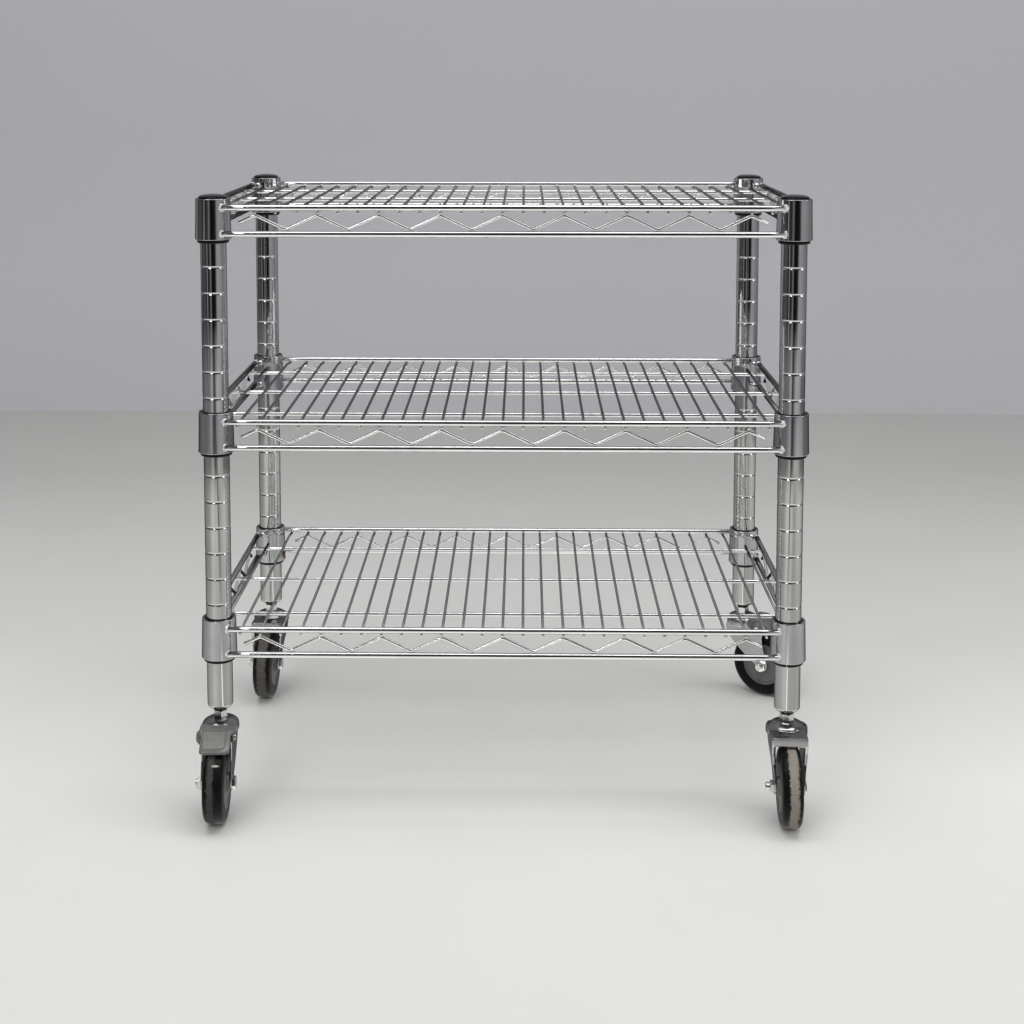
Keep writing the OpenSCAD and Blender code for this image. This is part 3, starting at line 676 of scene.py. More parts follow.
def post_profile():
    outer = arc(POST_R - 3.6, POST_BASE + 3.9, 3.6, -90, 0, 8, 3.9)
    for k in range(GROOVES - 1, -1, -1):
        z = POST_TOP - GROOVE0 - k * GROOVE_P
        for j in range(9):
            t = -1 + 2 * j / 8
            outer.append((POST_R - 0.5 * (0.5 + 0.5 * math.cos(math.pi * t)), z + 1.35 * t))
    outer += [(POST_R, POST_TOP - 0.5), (POST_R - 0.15, POST_TOP - 0.15), (POST_R - 0.5, POST_TOP)]
    inner = [(POST_R - 1.2, POST_TOP), (POST_R - 1.2, POST_BASE + 5.0), (POST_R - 2.0, POST_BASE + 2.4), (POST_R - 3.6, POST_BASE + 1.2)]
    return outer + inner


prof = post_profile()
for p in PLACES:
    b = Shells()
    revolve(b, prof, Matrix.Translation((AXIS[p][0], AXIS[p][1], 0)), 96)
    finish_piece(b.object("post_tube_" + p, sharp=50), M["post"], "post_chrome", "post_" + p)

b = Shells()
for p in PLACES:
    t = POST_TOP
    pr = [(0, t - 9), (10.4, t - 9), (11.25, t - 7.5), (11.25, t)] + arc(13.3, t + 0.5, 0.5, -90, 0, 3) + \
         arc(13.3, t + 0.9, 0.5, 0, 62, 4) + [(13.30 * math.cos(math.radians(a)), t + 1.15 + 2.6 * math.sin(math.radians(a))) for a in (14, 26, 38, 50, 60, 70, 78, 85)] + [(0, t + 3.75)]
    revolve(b, pr, Matrix.Translation((AXIS[p][0], AXIS[p][1], 0)), 96)
finish_piece(b.object("post_cap_domes", sharp=35), M["cap"], "black_plastic", "post_caps")

# ------------------------------------------------------------------ shelves

def collar_radius(h):
    return COLLAR_RO + (14.3 - 15.2) * h / COLLAR_H


for si, s in enumerate(SHELVES):
    z0, zr, zr2, rx, ry = COLLAR_Z[s], ROD[s]["z"], ROD[s]["z2"], ROD[s]["x"], ROD[s]["y"]
    # collars with weld beads
    b, wd = Shells(), Shells()
    for pi, p in enumerate(PLACES):
        x, y = AXIS[p]
        sx, sy = (1 if x > 0 else -1), (1 if y > 0 else -1)
        h = COLLAR_H
        rb, rt, w = COLLAR_RO, collar_radius(h), 2.1
        pr = arc(rb - 0.45, 0.45, 0.45, -90, 0, 4) + [(collar_radius(h * k / 6), h * k / 6) for k in range(1, 6)] + \
            arc(rt - 0.45, h - 0.45, 0.45, 0, 90, 4) + [(rt - w + 0.02, h), (rb - w + 0.02, 0)]
        revolve(b, pr, Matrix.Translation((x, y, z0)), 96)
        for zi, z in enumerate((zr, zr2)):
            for di, (dx, dy) in enumerate(((-ROD_END, rx - HX), (ry - HY, -ROD_END))):
                seed = 3.1 * si + 7.7 * pi + 1.9 * zi + 4.3 * di
                c = Vector((x + sx * dx * 0.965, y + sy * dy * 0.965, z))
                axis = Vector((1, 0, 0)) if di == 0 else Vector((0, 1, 0))
                other = Vector((0, 1, 0)) if di == 0 else Vector((1, 0, 0))
                blob(wd, c, (3.0, 2.6, 3.5), seed, 0.42, (axis, other, Vector((0, 0, 1))), 28, 18, 0.75)
                blob(wd, c + axis * (-sx if di == 0 else -sy) * 1.4 + Vector((0, 0, -0.4)), (2.2, 2.9, 3.2), seed + 5, 0.34, (axis, other, Vector((0, 0, 1))), 24, 14, 0.9)
    finish_piece(b.object(s + "_collar_set", sharp=50), M["collar"], "collar_chrome", s + "_shelf_collars")
    finish_piece(wd.object(s + "_weld_beads", sharp=80), M["weld"], "collar_chrome", s + "_shelf_collars")

    # frame rods, with the slight bow of hand-set wire
    b = Shells()
    for zi, z in enumerate((zr, zr2)):
        for sg in (-1, 1):
            L = HX - ROD_END
            bow = 0.32 * math.sin(2.1 * si + 1.3 * zi + sg)
            tube(b, [Vector((L * t, sg * (ry - abs(bow) * 0.5 * (1 - t * t)), z + (0.35 * bow * (1 - t * t)) * (-1 if zi == 0 else 1) * 0.6)) for t in [-1 + 2 * k / 24 for k in range(25)]], RAIL_R, 24, 0.12)
            L = HY - ROD_END
            tube(b, [Vector((sg * rx, L * t, z)) for t in [-1 + 2 * k / 12 for k in range(13)]], RAIL_R, 24, 0.12)
    finish_piece(b.object(s + "_rod_frame", sharp=50), M["wire"], "wire_chrome", s + "_shelf_frame_rods")

    # zigzag trusses
    lo, hi = mm(s + "_shelf_truss_wires")
    pk_long, pk_side, valley = zr - 6.85, zr - 4.4, zr2 + RAIL_R + TRUSS_R - 0.3
    b = Shells()

    def zigzag(peaks, pitch, zp, zv):
        drop = 7.4
        run = drop / (zp - zv) * pitch / 2
        x0 = (peaks - 1) * pitch / 2
        pts = [(-x0 - run, zp - drop)]
        pts += [(-x0 + i * pitch / 2, zp if i % 2 == 0 else zv) for i in range(2 * peaks - 1)]
        return pts + [(x0 + run, zp - drop)]

    for sg in (-1, 1):
        jit = 0
        pts = [Vector((u, sg * ry, v)) for u, v in zigzag(9, 3 * PITCH, pk_long, valley)]
        tube(b, fillet(pts, 5.5, 7), TRUSS_R, 16, 0.15)
        pts = [Vector((sg * rx, u, v)) for u, v in zigzag(4, 58.8, pk_side, valley)]
        tube(b, fillet(pts, 4.5, 7), TRUSS_R, 16, 0.15)
    finish_piece(b.object(s + "_truss_zigzags", sharp=50), M["truss"], "wire_chrome", s + "_shelf_truss_wires")

    # deck wires
    b = Shells()
    dz, dz_end = 1.75, 4.1
    yb, yt = ry - 20, ry + 2.2
    slope = (dz_end - dz) / 20
    for i in range(-13, 14):
        w = 0.16 * noise.noise(Vector((i * 0.77, si * 3.1, 0.4)))
        x = i * PITCH + 0.35 * noise.noise(Vector((i * 0.9, si * 2.3, 5.0)))
        path = [(x, -yt, zr - dz - slope * (yt - yb)), (x, -yb, zr - dz)] + [(x + w * math.cos(t * 1.4), t * yb, zr - dz) for t in (-0.5, 0.0, 0.5)] + \
               [(x, yb, zr - dz), (x, yt, zr - dz - slope * (yt - yb))]
        tube(b, fillet(path, 30, 4), DECK_R, 14, 0.2)
    for sg in (-1, 1):
        tube(b, [(sg * 14 * PITCH, t, zr - dz) for t in (-117, -58, 0, 58, 117)], DECK_R, 14, 0.2)
    finish_piece(b.object(s + "_deck_wire_set", sharp=50), M["deck"], "wire_chrome", s + "_shelf_deck_wires")

    # long support wires and the small resistance-weld nuggets at the crossings
    b = Shells()
    sz = 4.8
    for y in (-(HY - 46), 0, HY - 46):
        tube(b, [(t * (rx + 0.6), y + 0.25 * noise.noise(Vector((t * 2, y, si))), zr - sz) for t in [-1 + 2 * k / 16 for k in range(17)]], SUP_R, 16, 0.2)
        for i in range(-14, 15):
            sd = i * 1.37 + y * 0.11 + si
            blob(b, (i * PITCH, y, zr - (dz + DECK_R + (sz - SUP_R)) / 2), (1.9, 2.0, 0.75), sd, 0.25, None, 10, 6, 0.8)
    for sg in (-1, 1):
        for i in range(-13, 14):
            blob(b, (i * PITCH, sg * ry, zr - 2.85), (1.75, 1.9, 0.7), i * 2.1 + sg, 0.25, None, 10, 6, 0.8)
    finish_piece(b.object(s + "_support_wire_set", sharp=50), M["wire"], "wire_chrome", s + "_shelf_support_wires")

    keep(s + "_shelf_sleeves", M["sleeve"])

keep("post_threaded_inserts", M["zinc"])
keep("caster_ball_races", M["zinc"])
keep("caster_stem_washers", M["washer"])

# ------------------------------------------------------------------ casters

CROWN = 90.8
PLATE = 84.0
SW = {}
for j in frame["joints"]:
    if j["name"].startswith("wheel_spin_"):
        SW[j["name"][11:]] = math.atan2(j["axis"][1], j["axis"][0])
FORKM = {p: Matrix.Translation((AXIS[p][0], AXIS[p][1], 0)) @ Matrix.Rotation(SW[p], 4, "Z") for p in PLACES}


def world_mm(m):
    r = m.copy()
    r.translation = r.translation * MM
    return r


def stems():
    b = Shells()
    for p in PLACES:
        m = FORKM[p]
        hexbody(b, m @ Matrix.Translation((0, 0, CROWN + 0.1)) @ Matrix.Rotation(math.radians(12), 4, "Z"), 12, 7.9, 0.16)
        c = CROWN
        pr = [(0, c - 12.3)] + arc(5.2, c - 11.1, 1.2, -90, 0, 5) + [(6.4, c - 10.3), (12, c - 10.3), (12.5, c - 9.8), (12.5, c - 8.1), (12.2, c - 7.8), (4.95, c - 7.8),
              (4.95, c + 0.6), (5.0, c + 7.0), (5.0, POST_BASE + 25), (4, POST_BASE + 26), (0, POST_BASE + 26)]
        revolve(b, pr, m, 48)
    return b.object("caster_stem_set", sharp=35)


finish_piece(stems(), M["zinc"], "fastener_zinc", "caster_stems")


def fork_mesh(name, braked):
    """Pressed fork: dome, top plate and legs, fused with soft inner corners."""
    b = Shells()
    c, pl = CROWN, PLATE
    outer = [(5.0, c - 2), (5.0, c - 0.15), (5.3, c)] + [(6 + 12 * math.sin(math.radians(a)), c - 6.8 * (1 - math.cos(math.radians(a)))) for a in range(0, 91, 6)]
    outer += [(18, pl - 4.4), (17.5, pl - 5.0), (16, pl - 5.0)]
    inner = [(6 + 10 * math.sin(math.radians(a)), c - 2 - 6.8 * (1 - math.cos(math.radians(a)))) for a in range(90, -1, -6)]
    revolve(b, outer + inner, n=96)
    reach = 24.0 if braked else 32.0
    # top plate: a ring segment from the dome's rim to the front edge
    ya = 12.0
    hole = 16.8
    pts = [(-15, -8)] + [(-hole * math.sin(math.radians(a)), -hole * math.cos(math.radians(a))) for a in range(60, -61, -8)] + [(15, -8), (15, -reach), (-15, -reach)]
    rr = [0.0] * (len(pts) - 2) + [2.2, 2.2]
    slab(b, round_poly([Vector(q) for q in pts], rr), 2.0, lambda u, v, w: Vector((u, v, pl + w)))
    low = [(-14, 73), (-10, 66), (-5, 60), (3, 53), (11, 46), (19, 40), (22.4, 38.0), (22.8, 36.5), (23.8, 33.8), (26.4, 31.2), (30, 30.3), (33.6, 31.2), (36.2, 33.8), (37.2, 37.5), (36.8, 42), (34, 51), (31.2, 60), (30.4, 69.5)]
    if braked:
        up = [(31.5, pl - 6), (30.5, pl - 3.2), (24.5, pl + 2), (10, pl + 2), (8, pl - 1)]
    else:
        up = [(32, pl - 4), (32, pl + 2), (10, pl + 2), (8, pl - 1)]
    side = [(-12, pl - 1), (-15, pl - 5)] + low + up
    out2 = round_poly([Vector((-u, v)) for u, v in side], [0.5, 4] + [6, 14, 20, 20, 20, 8, 2, 2, 3, 3, 3, 3, 3, 3, 6, 12, 20, 12] + [2] * len(up), 4)
    for x in (-15.0, 13.0):
        slab(b, out2, 2.0, lambda u, v, w, x=x: Vector((x + w, u, v)))
    if not braked:
        fl = round_poly([Vector(q) for q in ((-13.6, 77.3), (13.6, 77.3), (13.6, pl + 1.6), (-13.6, pl + 1.6))], [0.6, 0.6, 0.2, 0.2])
        slab(b, fl, 2.0, lambda u, v, w: Vector((u, -reach + w, v)))
    ob = remeshed(b, name, 0.42, 4)
    if not braked:
        for v in ob.data.vertices:
            z, x = v.co.z / MM, v.co.x / MM
            if abs(x) > 12.5 and z < pl + 2:
                k = max(0.0, min(1.0, (z - 46) / 26)) * max(0.0, min(1.0, (abs(x) - 12.5) / 1.5))
                k = k * k * (3 - 2 * k)
                v.co.x += math.copysign(2.3 * k * max(0.0, min(1.0, (z - 40) / 10)), x) * MM
    return ob


def plate_outline(pts, rads):
    return round_poly([Vector(q) for q in pts], rads)


def sheet(b, xs, t0, t1, top, under, steps=14, half=None):
    """Closed patch over x and the distance t in front of the swivel axis, between two heights."""
    rows_a, rows_b = [], []
    for x in xs:
        ra, rb = [], []
        for k in range(steps + 1):
            t = t0(x) + (t1(x) - t0(x)) * k / steps
            w = half(t) if half else 1.0
            ra.append(b.add((x * w, -t, top(x, t))))
            rb.append(b.add((x * w, -t, under(x, t))))
        rows_a.append(ra)
        rows_b.append(rb)
    n, m = len(xs), steps + 1
    for i in range(n - 1):
        for k in range(m - 1):
            b.f.append((rows_a[i][k], rows_a[i][k + 1], rows_a[i + 1][k + 1], rows_a[i + 1][k]))
            b.f.append((rows_b[i][k], rows_b[i + 1][k], rows_b[i + 1][k + 1], rows_b[i][k + 1]))
    rim = [(i, 0) for i in range(n)] + [(n - 1, k) for k in range(1, m)] + [(i, m - 1) for i in range(n - 2, -1, -1)] + [(0, k) for k in range(m - 2, 0, -1)]
    for q in range(len(rim)):
        (i, k), (j, l) = rim[q], rim[(q + 1) % len(rim)]
        b.f.append((rows_a[i][k], rows_a[j][l], rows_b[j][l], rows_b[i][k]))


def pedal_mesh(name):
    """Pressed pedal: plate hollowed round the dome, raised pad, rolled lip, cheeks, pin boss and shoe."""
    b = Shells()
    pv = PLATE - 3.5
    line = [(13.0, 88.6), (13.6, 89.7), (14.6, 90.2), (24, 90.5), (27, 89.9), (30, 88.7), (48.7, 77.0), (49.4, 76.2), (50, 75.2)]

    def f(t):
        for (a, za), (c, zc) in zip(line, line[1:]):
            if t <= c:
                return za + (zc - za) * max(0.0, t - a) / (c - a)
        return line[-1][1]

    xs = [-1 + 2 * i / 24 for i in range(25)]
    half = lambda t: 16.6 if t < 27 else max(14.3, 16.6 - (t - 27) * 0.29)
    back = lambda x: max(13.2, math.sqrt(max(0.0, 19.5 ** 2 - (16.6 * x) ** 2)))
    front = lambda x: 49.7 - max(0.0, abs(x) - 0.82) * 14.0
    sheet(b, xs, back, front, lambda x, t: f(t), lambda x, t: f(t) - 2.0, 30, half)
    sheet(b, xs, lambda x: front(x) - 2.0, front, lambda x, t: 76.3, lambda x, t: 74.1, 4, half)
    # the pad: raised face with sloping margins
    px = [-12.9, -11.8, -6, 0, 5, 9.2, 10.3]
    pad = lambda x, t: f(t) + 0.95 * max(0.0, min(1.0, (t - 29.8) / 1.0, (48.4 - t) / 1.0, (x + 13.0) / 1.1, (10.4 - x) / 1.1))
    sheet(b, px, lambda x: 29.8, lambda x: 48.5 - max(0.0, x - 6.5) * 0.8, pad, lambda x, t: f(t) - 1.0, 26)
    cheek = [(12.4, 86), (13.6, 89.4), (14.6, 89.8), (24, 90.1), (31.5, 87.6), (32.5, 82), (31, 78), (27.5, 76.6), (23, 76.7), (18, 78.1), (13.4, 82.1)]
    for x in (-16.6, 15.2):
        slab(b, plate_outline([(-u, v) for u, v in cheek], [1.5, 1, 1, 2, 1.5, 3, 3, 4, 3, 3, 3]), 1.4, lambda u, v, w, x=x: Vector((x + w, u, v)))
    for sd in (-1, 1):
        slab(b, plate_outline([(-u, v) for u, v in [(32.4, 86.4), (47.6, 77.2), (47.8, 74.4), (44, 75.2), (35, 80.6), (32.6, 80)]], 0.6), 1.3, lambda u, v, w, sd=sd: Vector((sd * (13.0 + w), u, v)))
    boss = Matrix.Translation((0, -25, pv + 0.5)) @ Matrix.Rotation(math.radians(-90), 4, "Y")
    revolve(b, [(3.2, 16.0), (7.3, 16.0), (7.2, 16.8), (6.2, 18.0), (5.0, 19.2), (4.3, 19.75), (3.5, 19.75), (3.2, 19.4)], boss, 48)
    shoe = [(28.4, 87.2), (28.4, 76.9), (36, 76.3), (36, 82.8)]
    slab(b, plate_outline([(-u, v) for u, v in shoe], [0.3, 1, 1, 0.3]), 16, lambda u, v, w: Vector((-8 + w, u, v)))
    return remeshed(b, name, 0.36, 3)


WHEEL = Matrix.Rotation(math.radians(90), 4, "Y")


def hub_mesh(name):
    b = Shells()
    half = [(5.65, 12.6), (8.4, 12.6), (9.0, 12.3), (9.3, 11.8), (9.7, 10.0), (10.4, 9.55), (12.5, 9.4), (20.0, 9.1), (20.5, 9.15), (20.9, 9.5), (21.1, 10.0), (21.5, 10.25), (23.4, 10.25), (23.8, 10.1), (24.0, 9.8)]
    revolve(b, [(r, -x) for r, x in half] + [(r, x) for r, x in reversed(half)], WHEEL, 96)
    return b.object(name, sharp=45)


def tyre_mesh(name, seed):
    b = Shells()
    w = 10.0
    half = [(24.0, w - 0.7), (24.4, w - 0.25), (25.0, w - 0.05), (26.4, w), (26.7, w - 0.12), (26.95, w - 0.42), (27.2, w - 0.12), (27.5, w), (29.5, w), (31.6, w - 0.05)]
    half += [(32.4 + 5.0 * math.sin(math.radians(a)), w - 4.2 + 4.15 * math.cos(math.radians(a))) for a in range(8, 85, 8)]
    half += [(37.42, 4.6), (37.48, 3.2), (37.5, 1.6), (37.5, 0.0)]
    pr = [(r, -x) for r, x in half] + [(r, x) for r, x in reversed(half[:-1])]
    revolve(b, pr, WHEEL, 160)

    def warp(p):
        # small nicks and flats, only ever inwards
        r = math.hypot(p.y, p.z)
        if r < 30:
            return p
        d = max(0.0, noise.noise(Vector((p.x * 0.28, p.y * 0.16, p.z * 0.16)) + Vector((seed, 0, 0))) - 0.38) * 1.1
        k = (r - min(d, 0.35)) / r
        return Vector((p.x, p.y * k, p.z * k))
    return b.object(name, sharp=50, warp=warp)


def bolt_mesh(name, tail, head):
    b = Shells()
    hexbody(b, Matrix.Translation((15.0, 0, 0)) @ WHEEL @ Matrix.Rotation(math.radians(10), 4, "Z"), 11, head, 0.22 if head > 2 else 0.08, both=False)
    pr = [(0, -tail), (3.3, -tail)]
    z = -tail + 0.3
    while z < -15.4:                       # thread ridges on the free end
        pr += [(3.62, z), (4.0, z + 0.3), (4.0, z + 0.42), (3.62, z + 0.72)]
        z += 0.8
    pr += [(4.0, -14.8), (4.0, 15.5), (0, 15.5)]
    revolve(b, pr, WHEEL, 48)
    return b.object(name, sharp=35)


def nut_mesh(name):
    b = Shells()
    n = 48
    m = Matrix.Translation((-18.6, 0, 0)) @ WHEEL @ Matrix.Rotation(math.radians(25), 4, "Z")
    ri, rt = 5.5, 5.3
    per = 8

    def rad(i):
        return ri / math.cos((i % per) / per * math.pi / 3 - math.pi / 6)

    def pt(i, r, zz):
        a = 2 * math.pi * i / n - math.pi / 6
        return b.add(m @ Vector((r * math.cos(a), r * math.sin(a), zz)))
    h = 3.6
    rings = [[pt(i, 4.0, 0.15) for i in range(n)], [pt(i, 4.5, -0.28) for i in range(n)], [pt(i, rt, -0.05) for i in range(n)],
             [pt(i, rad(i), (rad(i) - rt) * 0.55) for i in range(n)], [pt(i, rad(i), h - (rad(i) - rt) * 0.3) for i in range(n)],
             [pt(i, rt, h) for i in range(n)], [pt(i, 4.0, h) for i in range(n)]]
    for i in range(len(rings)):
        b.bridge(rings[i], rings[(i + 1) % len(rings)])
    return b.object(name, sharp=35)


BRAKED = {"front_left", "back_right"}
TAIL = {"front_left": 20.55, "front_right": 22.85, "back_left": 20.55, "back_right": 22.85}
HEAD = {"front_left": 3.25, "front_right": 1.0, "back_left": 3.25, "back_right": 3.25}
for i, p in enumerate(PLACES):
    fm = world_mm(FORKM[p])
    wm = world_mm(FORKM[p] @ Matrix.Translation((0, -30.0, 37.5)))
    ob = fork_mesh("fork_pressing_" + p, p in BRAKED)
    ob.matrix_world = fm
    finish_piece(ob, M["fork"], "fork_chrome", "fork_" + p)
    for fn, nm, mat, sl, node in ((hub_mesh, "hub_moulding_", M["hub"], "hub_plastic", "wheel_hub_"),
                                  (lambda n: tyre_mesh(n, i * 11.3), "tyre_tread_", M["tyre_" + p], "tyre_rubber", "tyre_"),
                                  (lambda n: bolt_mesh(n, TAIL[p], HEAD[p]), "axle_bolt_body_", M["zinc"], "fastener_zinc", "axle_bolt_"),
                                  (nut_mesh, "axle_nut_body_", M["zinc"], "fastener_zinc", "axle_nut_")):
        ob = fn(nm + p)
        ob.matrix_world = wm
        finish_piece(ob, mat, sl, node + p)
    keep("axle_spacer_" + p, M["zinc"])
    if p in BRAKED:
        ob = pedal_mesh("brake_pedal_pressing_" + p)
        ob.matrix_world = fm
        finish_piece(ob, M["pedal"], "pedal_steel", "brake_pedal_" + p)
        keep("brake_pedal_pin_" + p, M["zinc"])

# ------------------------------------------------------------------ stage: floor, wall, light

def flat(name, corners, mat):
    me = bpy.data.meshes.new(name)
    me.from_pydata(corners, [], [(0, 1, 2, 3)])
    ob = bpy.data.objects.new(name, me)
    bpy.context.scene.collection.objects.link(ob)
    me.materials.append(mat.m)
    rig.stage(ob)
    return ob


fl = Mat("floor_paint")
fy = fl.xyz()[1]
# painted light: the floor is painted lightest just in front of and under the front of the rack, lightening the rack's
# shadow there, and darker towards the wall, standing in for the lamp's falloff
tone = fl.ramp(fl.math("ADD", fl.math("MULTIPLY", fy, 0.25), 0.5), [(0.36, 0.655), (0.42, 0.675), (0.478, 0.73), (0.53, 0.655), (0.58, 0.59), (0.71, 0.50), (0.79, 0.44), (0.88, 0.42)])
cloud = fl.ramp(fl.noise(2.6, 6, 0.62), [(0.35, 0.965), (0.70, 1.0)])
tint = fl.node("ShaderNodeVectorMath", operation="MULTIPLY")
fl.link(tone, tint.inputs[0])
fl.link(cloud, tint.inputs[1])
warm = fl.node("ShaderNodeVectorMath", operation="MULTIPLY")
fl.link(tint.outputs[0], warm.inputs[0])
warm.inputs[1].default_value = (1.0, 1.0, 0.962)
fl.set(Base_Color=warm.outputs[0], Roughness=fl.math("ADD", fl.math("MULTIPLY", fl.noise(2.2, 3, 0.5), 0.16), 0.30), Specular_IOR_Level=0.22)
fl.bump(fl.noise(5.0, 2, 0.5), 0.10, 0.01)
# what plated parts see of the floor is a painted reflection: for reflection rays the floor glows with bands by
# direction, painted as under one lamp in a dim room
inc = fl.node("ShaderNodeNewGeometry").outputs["Incoming"]
isep = fl.node("ShaderNodeSeparateXYZ")
fl.link(inc, isep.inputs[0])
iaz = fl.math("ARCTAN2", fl.math("MULTIPLY", isep.outputs[0], -1.0), isep.outputs[1])
SIDE = ((-180, 0.30), (-150, 0.22), (-128, 0.12), (-110, 0.08), (-98, 0.05), (-88, 0.09), (-76, 0.085), (-58, 0.035), (-53, 0.03), (-50, 0.32), (-47, 0.32), (-44, 0.045), (-36, 0.028), (-26, 0.035),
        (-18, 0.18), (-13, 0.20), (-9, 0.02), (-2, 0.008), (8, 0.006), (16, 0.012), (26, 0.03), (31, 0.18), (36, 0.32), (46, 0.38), (60, 0.36), (80, 0.30), (100, 0.26), (125, 0.26), (180, 0.30))
turn = fl.math("ADD", fl.math("DIVIDE", iaz, 2 * math.pi), 0.5)


def band(src, stops):
    return fl.ramp(src, [(0.5 + a / 360.0, v) for a, v in stops])


close = band(turn, ((-180, 0.42), (-110, 0.46), (-88, 0.48), (-63, 0.56), (-41, 0.69), (-30, 0.69), (-12, 0.59), (6, 0.53), (16, 0.49), (40, 0.50), (53, 0.46), (85, 0.54), (110, 0.46), (180, 0.42)))
step = band(turn, ((-180, 0.34), (-112, 0.34), (-80, 0.36), (-57, 0.46), (-46, 0.62), (-37, 0.74), (-26, 0.72), (-7, 0.64), (2, 0.70), (28, 0.40), (39, 0.52), (60, 0.64), (80, 0.66), (95, 0.60), (130, 0.44), (180, 0.34)))
away = band(turn, ((-180, 0.18), (-105, 0.18), (-80, 0.22), (-60, 0.20), (-46, 0.22), (-30, 0.34), (-19, 0.54), (-11, 0.24), (-3, 0.05), (6, 0.18), (15, 0.42), (32, 0.56), (50, 0.46), (62, 0.44), (75, 0.20), (100, 0.18), (180, 0.18)))
room = band(turn, SIDE)
lpath = fl.node("ShaderNodeLightPath")
reach = fl.math("MULTIPLY", lpath.outputs["Ray Length"], 0.2)
pos = fl.node("ShaderNodeSeparateXYZ")
fl.link(fl.node("ShaderNodeNewGeometry").outputs["Position"], pos.inputs[0])
# painted glint: one bright streak in the floor's painted reflection, close by, aimed at a spot in front of the rack
glint_az = fl.math("ADD", iaz, fl.math("MULTIPLY", pos.outputs[0], 129 * math.pi / 180))
glint = fl.ramp(fl.math("ADD", fl.math("DIVIDE", glint_az, 2 * math.pi), 0.5), [(0.5 + a / 360.0, v) for a, v in ((6, 0.0), (10, 1.0), (18, 1.0), (23, 0.0))])
glint = fl.math("MULTIPLY", glint, fl.ramp(reach, [(0.08, 1.0), (0.15, 0.0)]))
painted_reflection = fl.mix(glint, close, (1.45, 1.45, 1.45))
painted_reflection = fl.mix(fl.ramp(reach, [(0.08, 0.0), (0.18, 1.0)]), painted_reflection, step)
painted_reflection = fl.mix(fl.ramp(reach, [(0.244, 0.0), (0.284, 1.0)]), painted_reflection, away)
painted_reflection = fl.mix(fl.ramp(reach, [(0.44, 0.0), (0.64, 1.0)]), painted_reflection, room)
# painted dark reflection: a dark figure shape on the floor in front of the rack, as of someone standing at the camera
dark_figure = fl.math("MULTIPLY", fl.ramp(fl.math("ABSOLUTE", fl.math("SUBTRACT", pos.outputs[0], 0.05)), [(0.06, 1.0), (0.11, 0.0)]),
                fl.ramp(fl.math("MULTIPLY", pos.outputs[1], -0.25), [(0.16, 0.0), (0.30, 1.0)]))
painted_reflection = fl.mix(fl.math("MULTIPLY", dark_figure, 0.8), painted_reflection, (0.06, 0.06, 0.06))
# painted bright reflection: looked at steeply, the floor under the rack shows white
painted_reflection = fl.mix(fl.ramp(isep.outputs[2], [(0.46, 0.0), (0.64, 1.0)]), painted_reflection, (1.0, 1.0, 1.0))
em = fl.node("ShaderNodeEmission")
gtint = fl.node("ShaderNodeVectorMath", operation="MULTIPLY")
fl.link(painted_reflection, gtint.inputs[0])
fl.link(fl.ramp(reach, [(0.26, (0.99, 1.0, 0.965)), (0.50, (0.985, 0.99, 1.03))]), gtint.inputs[1])
fl.link(gtint.outputs[0], em.inputs["Color"])
ms = fl.node("ShaderNodeMixShader")
fl.link(lpath.outputs["Is Glossy Ray"], ms.inputs[0])
fl.link(fl.bsdf.outputs[0], ms.inputs[1])
fl.link(em.outputs[0], ms.inputs[2])
fl.link(ms.outputs[0], fl.t.nodes["Material Output"].inputs["Surface"])
wl = Mat("wall_paint")
wtone = wl.node("ShaderNodeVectorMath", operation="MULTIPLY")
wl.link(wl.ramp(wl.math("MULTIPLY", wl.xyz()[2], 0.5), [(0.0, 0.50), (0.15, 0.475), (0.30, 0.43), (0.55, 0.405)]), wtone.inputs[0])
wl.link(wl.mix(wl.ramp(wl.noise(0.8, 3, 0.5), [(0.3, 0.0), (0.7, 1.0)]), (1.0, 1.0, 1.045), (0.975, 0.975, 1.02)), wtone.inputs[1])
wl.set(Base_Color=wtone.outputs[0], Roughness=0.85, Specular_IOR_Level=0.1)
WALL_Y = 1.663
FLOOR_FRONT = -3.1
flat("floor", [(-7, FLOOR_FRONT, 0), (7, FLOOR_FRONT, 0), (7, WALL_Y, 0), (-7, WALL_Y, 0)], fl)
flat("wall", [(-7, WALL_Y, 0), (7, WALL_Y, 0), (7, WALL_Y, 4.5), (-7, WALL_Y, 4.5)], wl)

world = bpy.data.worlds.new("studio")
bpy.context.scene.world = world
world.use_nodes = True
wt = world.node_tree
bg = wt.nodes["Background"]


def wnode(kind, **kw):
    n = wt.nodes.new(kind)
    for k, v in kw.items():
        setattr(n, k, v)
    return n


def wmath(op, a, b=None, clamp=False):
    n = wnode("ShaderNodeMath", operation=op, use_clamp=clamp)
    for i, x in enumerate((a, b)):
        if x is None:
            continue
        if isinstance(x, (int, float)):
            n.inputs[i].default_value = x
        else:
            wt.links.new(x, n.inputs[i])
    return n.outputs[0]


def wramp(src, stops, mode="LINEAR"):
    r = wnode("ShaderNodeValToRGB")
    r.color_ramp.interpolation = mode
    e = r.color_ramp.elements
    while len(e) < len(stops):
        e.new(0.5)
    for k, (pos, col) in zip(e, stops):
        k.position = pos
        k.color = (col, col, col, 1) if isinstance(col, (int, float)) else (*col, 1)
    wt.links.new(src, r.inputs["Fac"])
    return r.outputs["Color"]


def wmix(fac, a, b):
    n = wnode("ShaderNodeMix", data_type="RGBA")
    for s, x in ((0, fac), (6, a), (7, b)):
        if isinstance(x, (tuple, list)):
            n.inputs[s].default_value = (*x, 1)
        elif isinstance(x, (int, float)):
            n.inputs[s].default_value = x
        else:
            wt.links.new(x, n.inputs[s])
    return n.outputs[2]


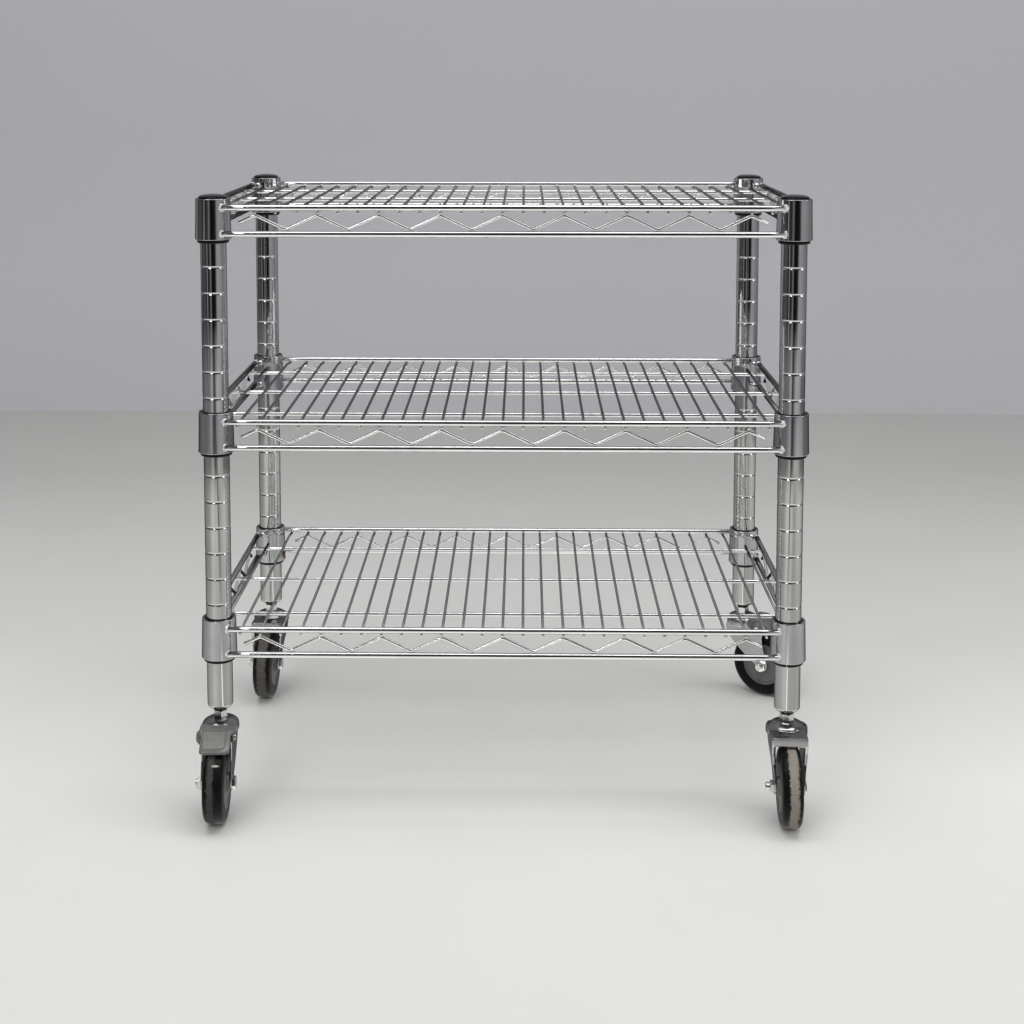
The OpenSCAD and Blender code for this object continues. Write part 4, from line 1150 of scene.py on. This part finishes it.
tc = wnode("ShaderNodeTexCoord")
sep = wnode("ShaderNodeSeparateXYZ")
wt.links.new(tc.outputs["Generated"], sep.inputs[0])
az = wmath("ARCTAN2", sep.outputs[0], wmath("MULTIPLY", sep.outputs[1], -1.0))      # 0 behind the camera, + to the right
az01 = wmath("ADD", wmath("DIVIDE", az, 2 * math.pi), 0.5)


def deg(a):
    return 0.5 + a / 360.0


side = wramp(az01, [(deg(a), v) for a, v in SIDE])
up = wramp(sep.outputs[2], [(0.0, 0.0), (0.18, 0.15), (0.42, 0.6), (0.60, 1.0)])
ceiling = wramp(wmath("ADD", wmath("MULTIPLY", sep.outputs[1], 0.5), 0.5), [(0.0, 0.04), (0.45, 0.10), (1.0, 0.32)])
refl = wmix(up, side, ceiling)
lp = wnode("ShaderNodeLightPath")
col = wmix(lp.outputs["Is Diffuse Ray"], refl, (0.72, 0.72, 0.73))
col = wmix(lp.outputs["Is Camera Ray"], col, (0.42, 0.42, 0.44))
wt.links.new(col, bg.inputs["Color"])
bg.inputs["Strength"].default_value = 1.0


def area(name, loc, target, size, power, col=(1, 1, 1)):
    li = bpy.data.lights.new(name, "AREA")
    li.shape = "RECTANGLE"
    li.size, li.size_y = size
    li.energy = power
    li.color = col
    ob = bpy.data.objects.new(name, li)
    bpy.context.scene.collection.objects.link(ob)
    ob.location = loc
    ob.rotation_mode = "QUATERNION"
    ob.rotation_quaternion = (Vector(target) - Vector(loc)).to_track_quat("-Z", "Y")
    return ob


area("overhead", (0.1, -0.35, 3.0), (0.1, -0.35, 0), (3.4, 1.4), 55)
area("front_fill", (-1.6, -3.0, 2.6), (0, 0, 0.3), (1.2, 0.5), 16)
area("side_right", (2.9, -0.9, 1.7), (0, 0, 0.35), (0.8, 1.6), 12)

sc = bpy.context.scene
sc.view_settings.view_transform = "Standard"
sc.view_settings.look = "None"
sc.view_settings.exposure = 0.0

# ------------------------------------------------------------------ camera, with the photo's shifted lens at its own place only

CAM = (0.02108, -1.63333, 0.71789)
YAW, PITCHD, F_PX, PPX, PPY = -0.0163, 0.0840, 1554.5, 499.76, 208.57
cam = bpy.data.cameras.new("camera")
cam_ob = bpy.data.objects.new("camera", cam)
sc.collection.objects.link(cam_ob)
sc.camera = cam_ob
fwd = Vector((math.sin(YAW) * math.cos(PITCHD), math.cos(YAW) * math.cos(PITCHD), -math.sin(PITCHD)))
right = Vector((math.cos(YAW), -math.sin(YAW), 0))
upv = right.cross(fwd)
rot = Matrix((right, upv, -fwd)).transposed()
cam_ob.matrix_world = Matrix.Translation(CAM) @ rot.to_4x4()
cam.sensor_width = 36.0
cam.lens = F_PX / 1024 * 36
cam.clip_start, cam.clip_end = 0.01, 60
for prop, val in (("shift_x", (512 - PPX) / 1024), ("shift_y", (PPY - 512) / 1024)):
    d = cam.driver_add(prop).driver
    d.type = "SCRIPTED"
    for k, ax in enumerate("xyz"):
        v = d.variables.new()
        v.name = ax
        v.type = "SINGLE_PROP"
        v.targets[0].id = cam_ob
        v.targets[0].data_path = "location[%d]" % k
    d.expression = "%.6f if abs(x - %.5f) + abs(y - %.5f) + abs(z - %.5f) < 0.001 else 0.0" % ((val,) + tuple(CAM))

lo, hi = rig.bounds()
with open("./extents.json", "w") as f:
    json.dump({"cad": [list(CAD_BOX[0]), list(CAD_BOX[1])], "visual": [list(lo), list(hi)]}, f)
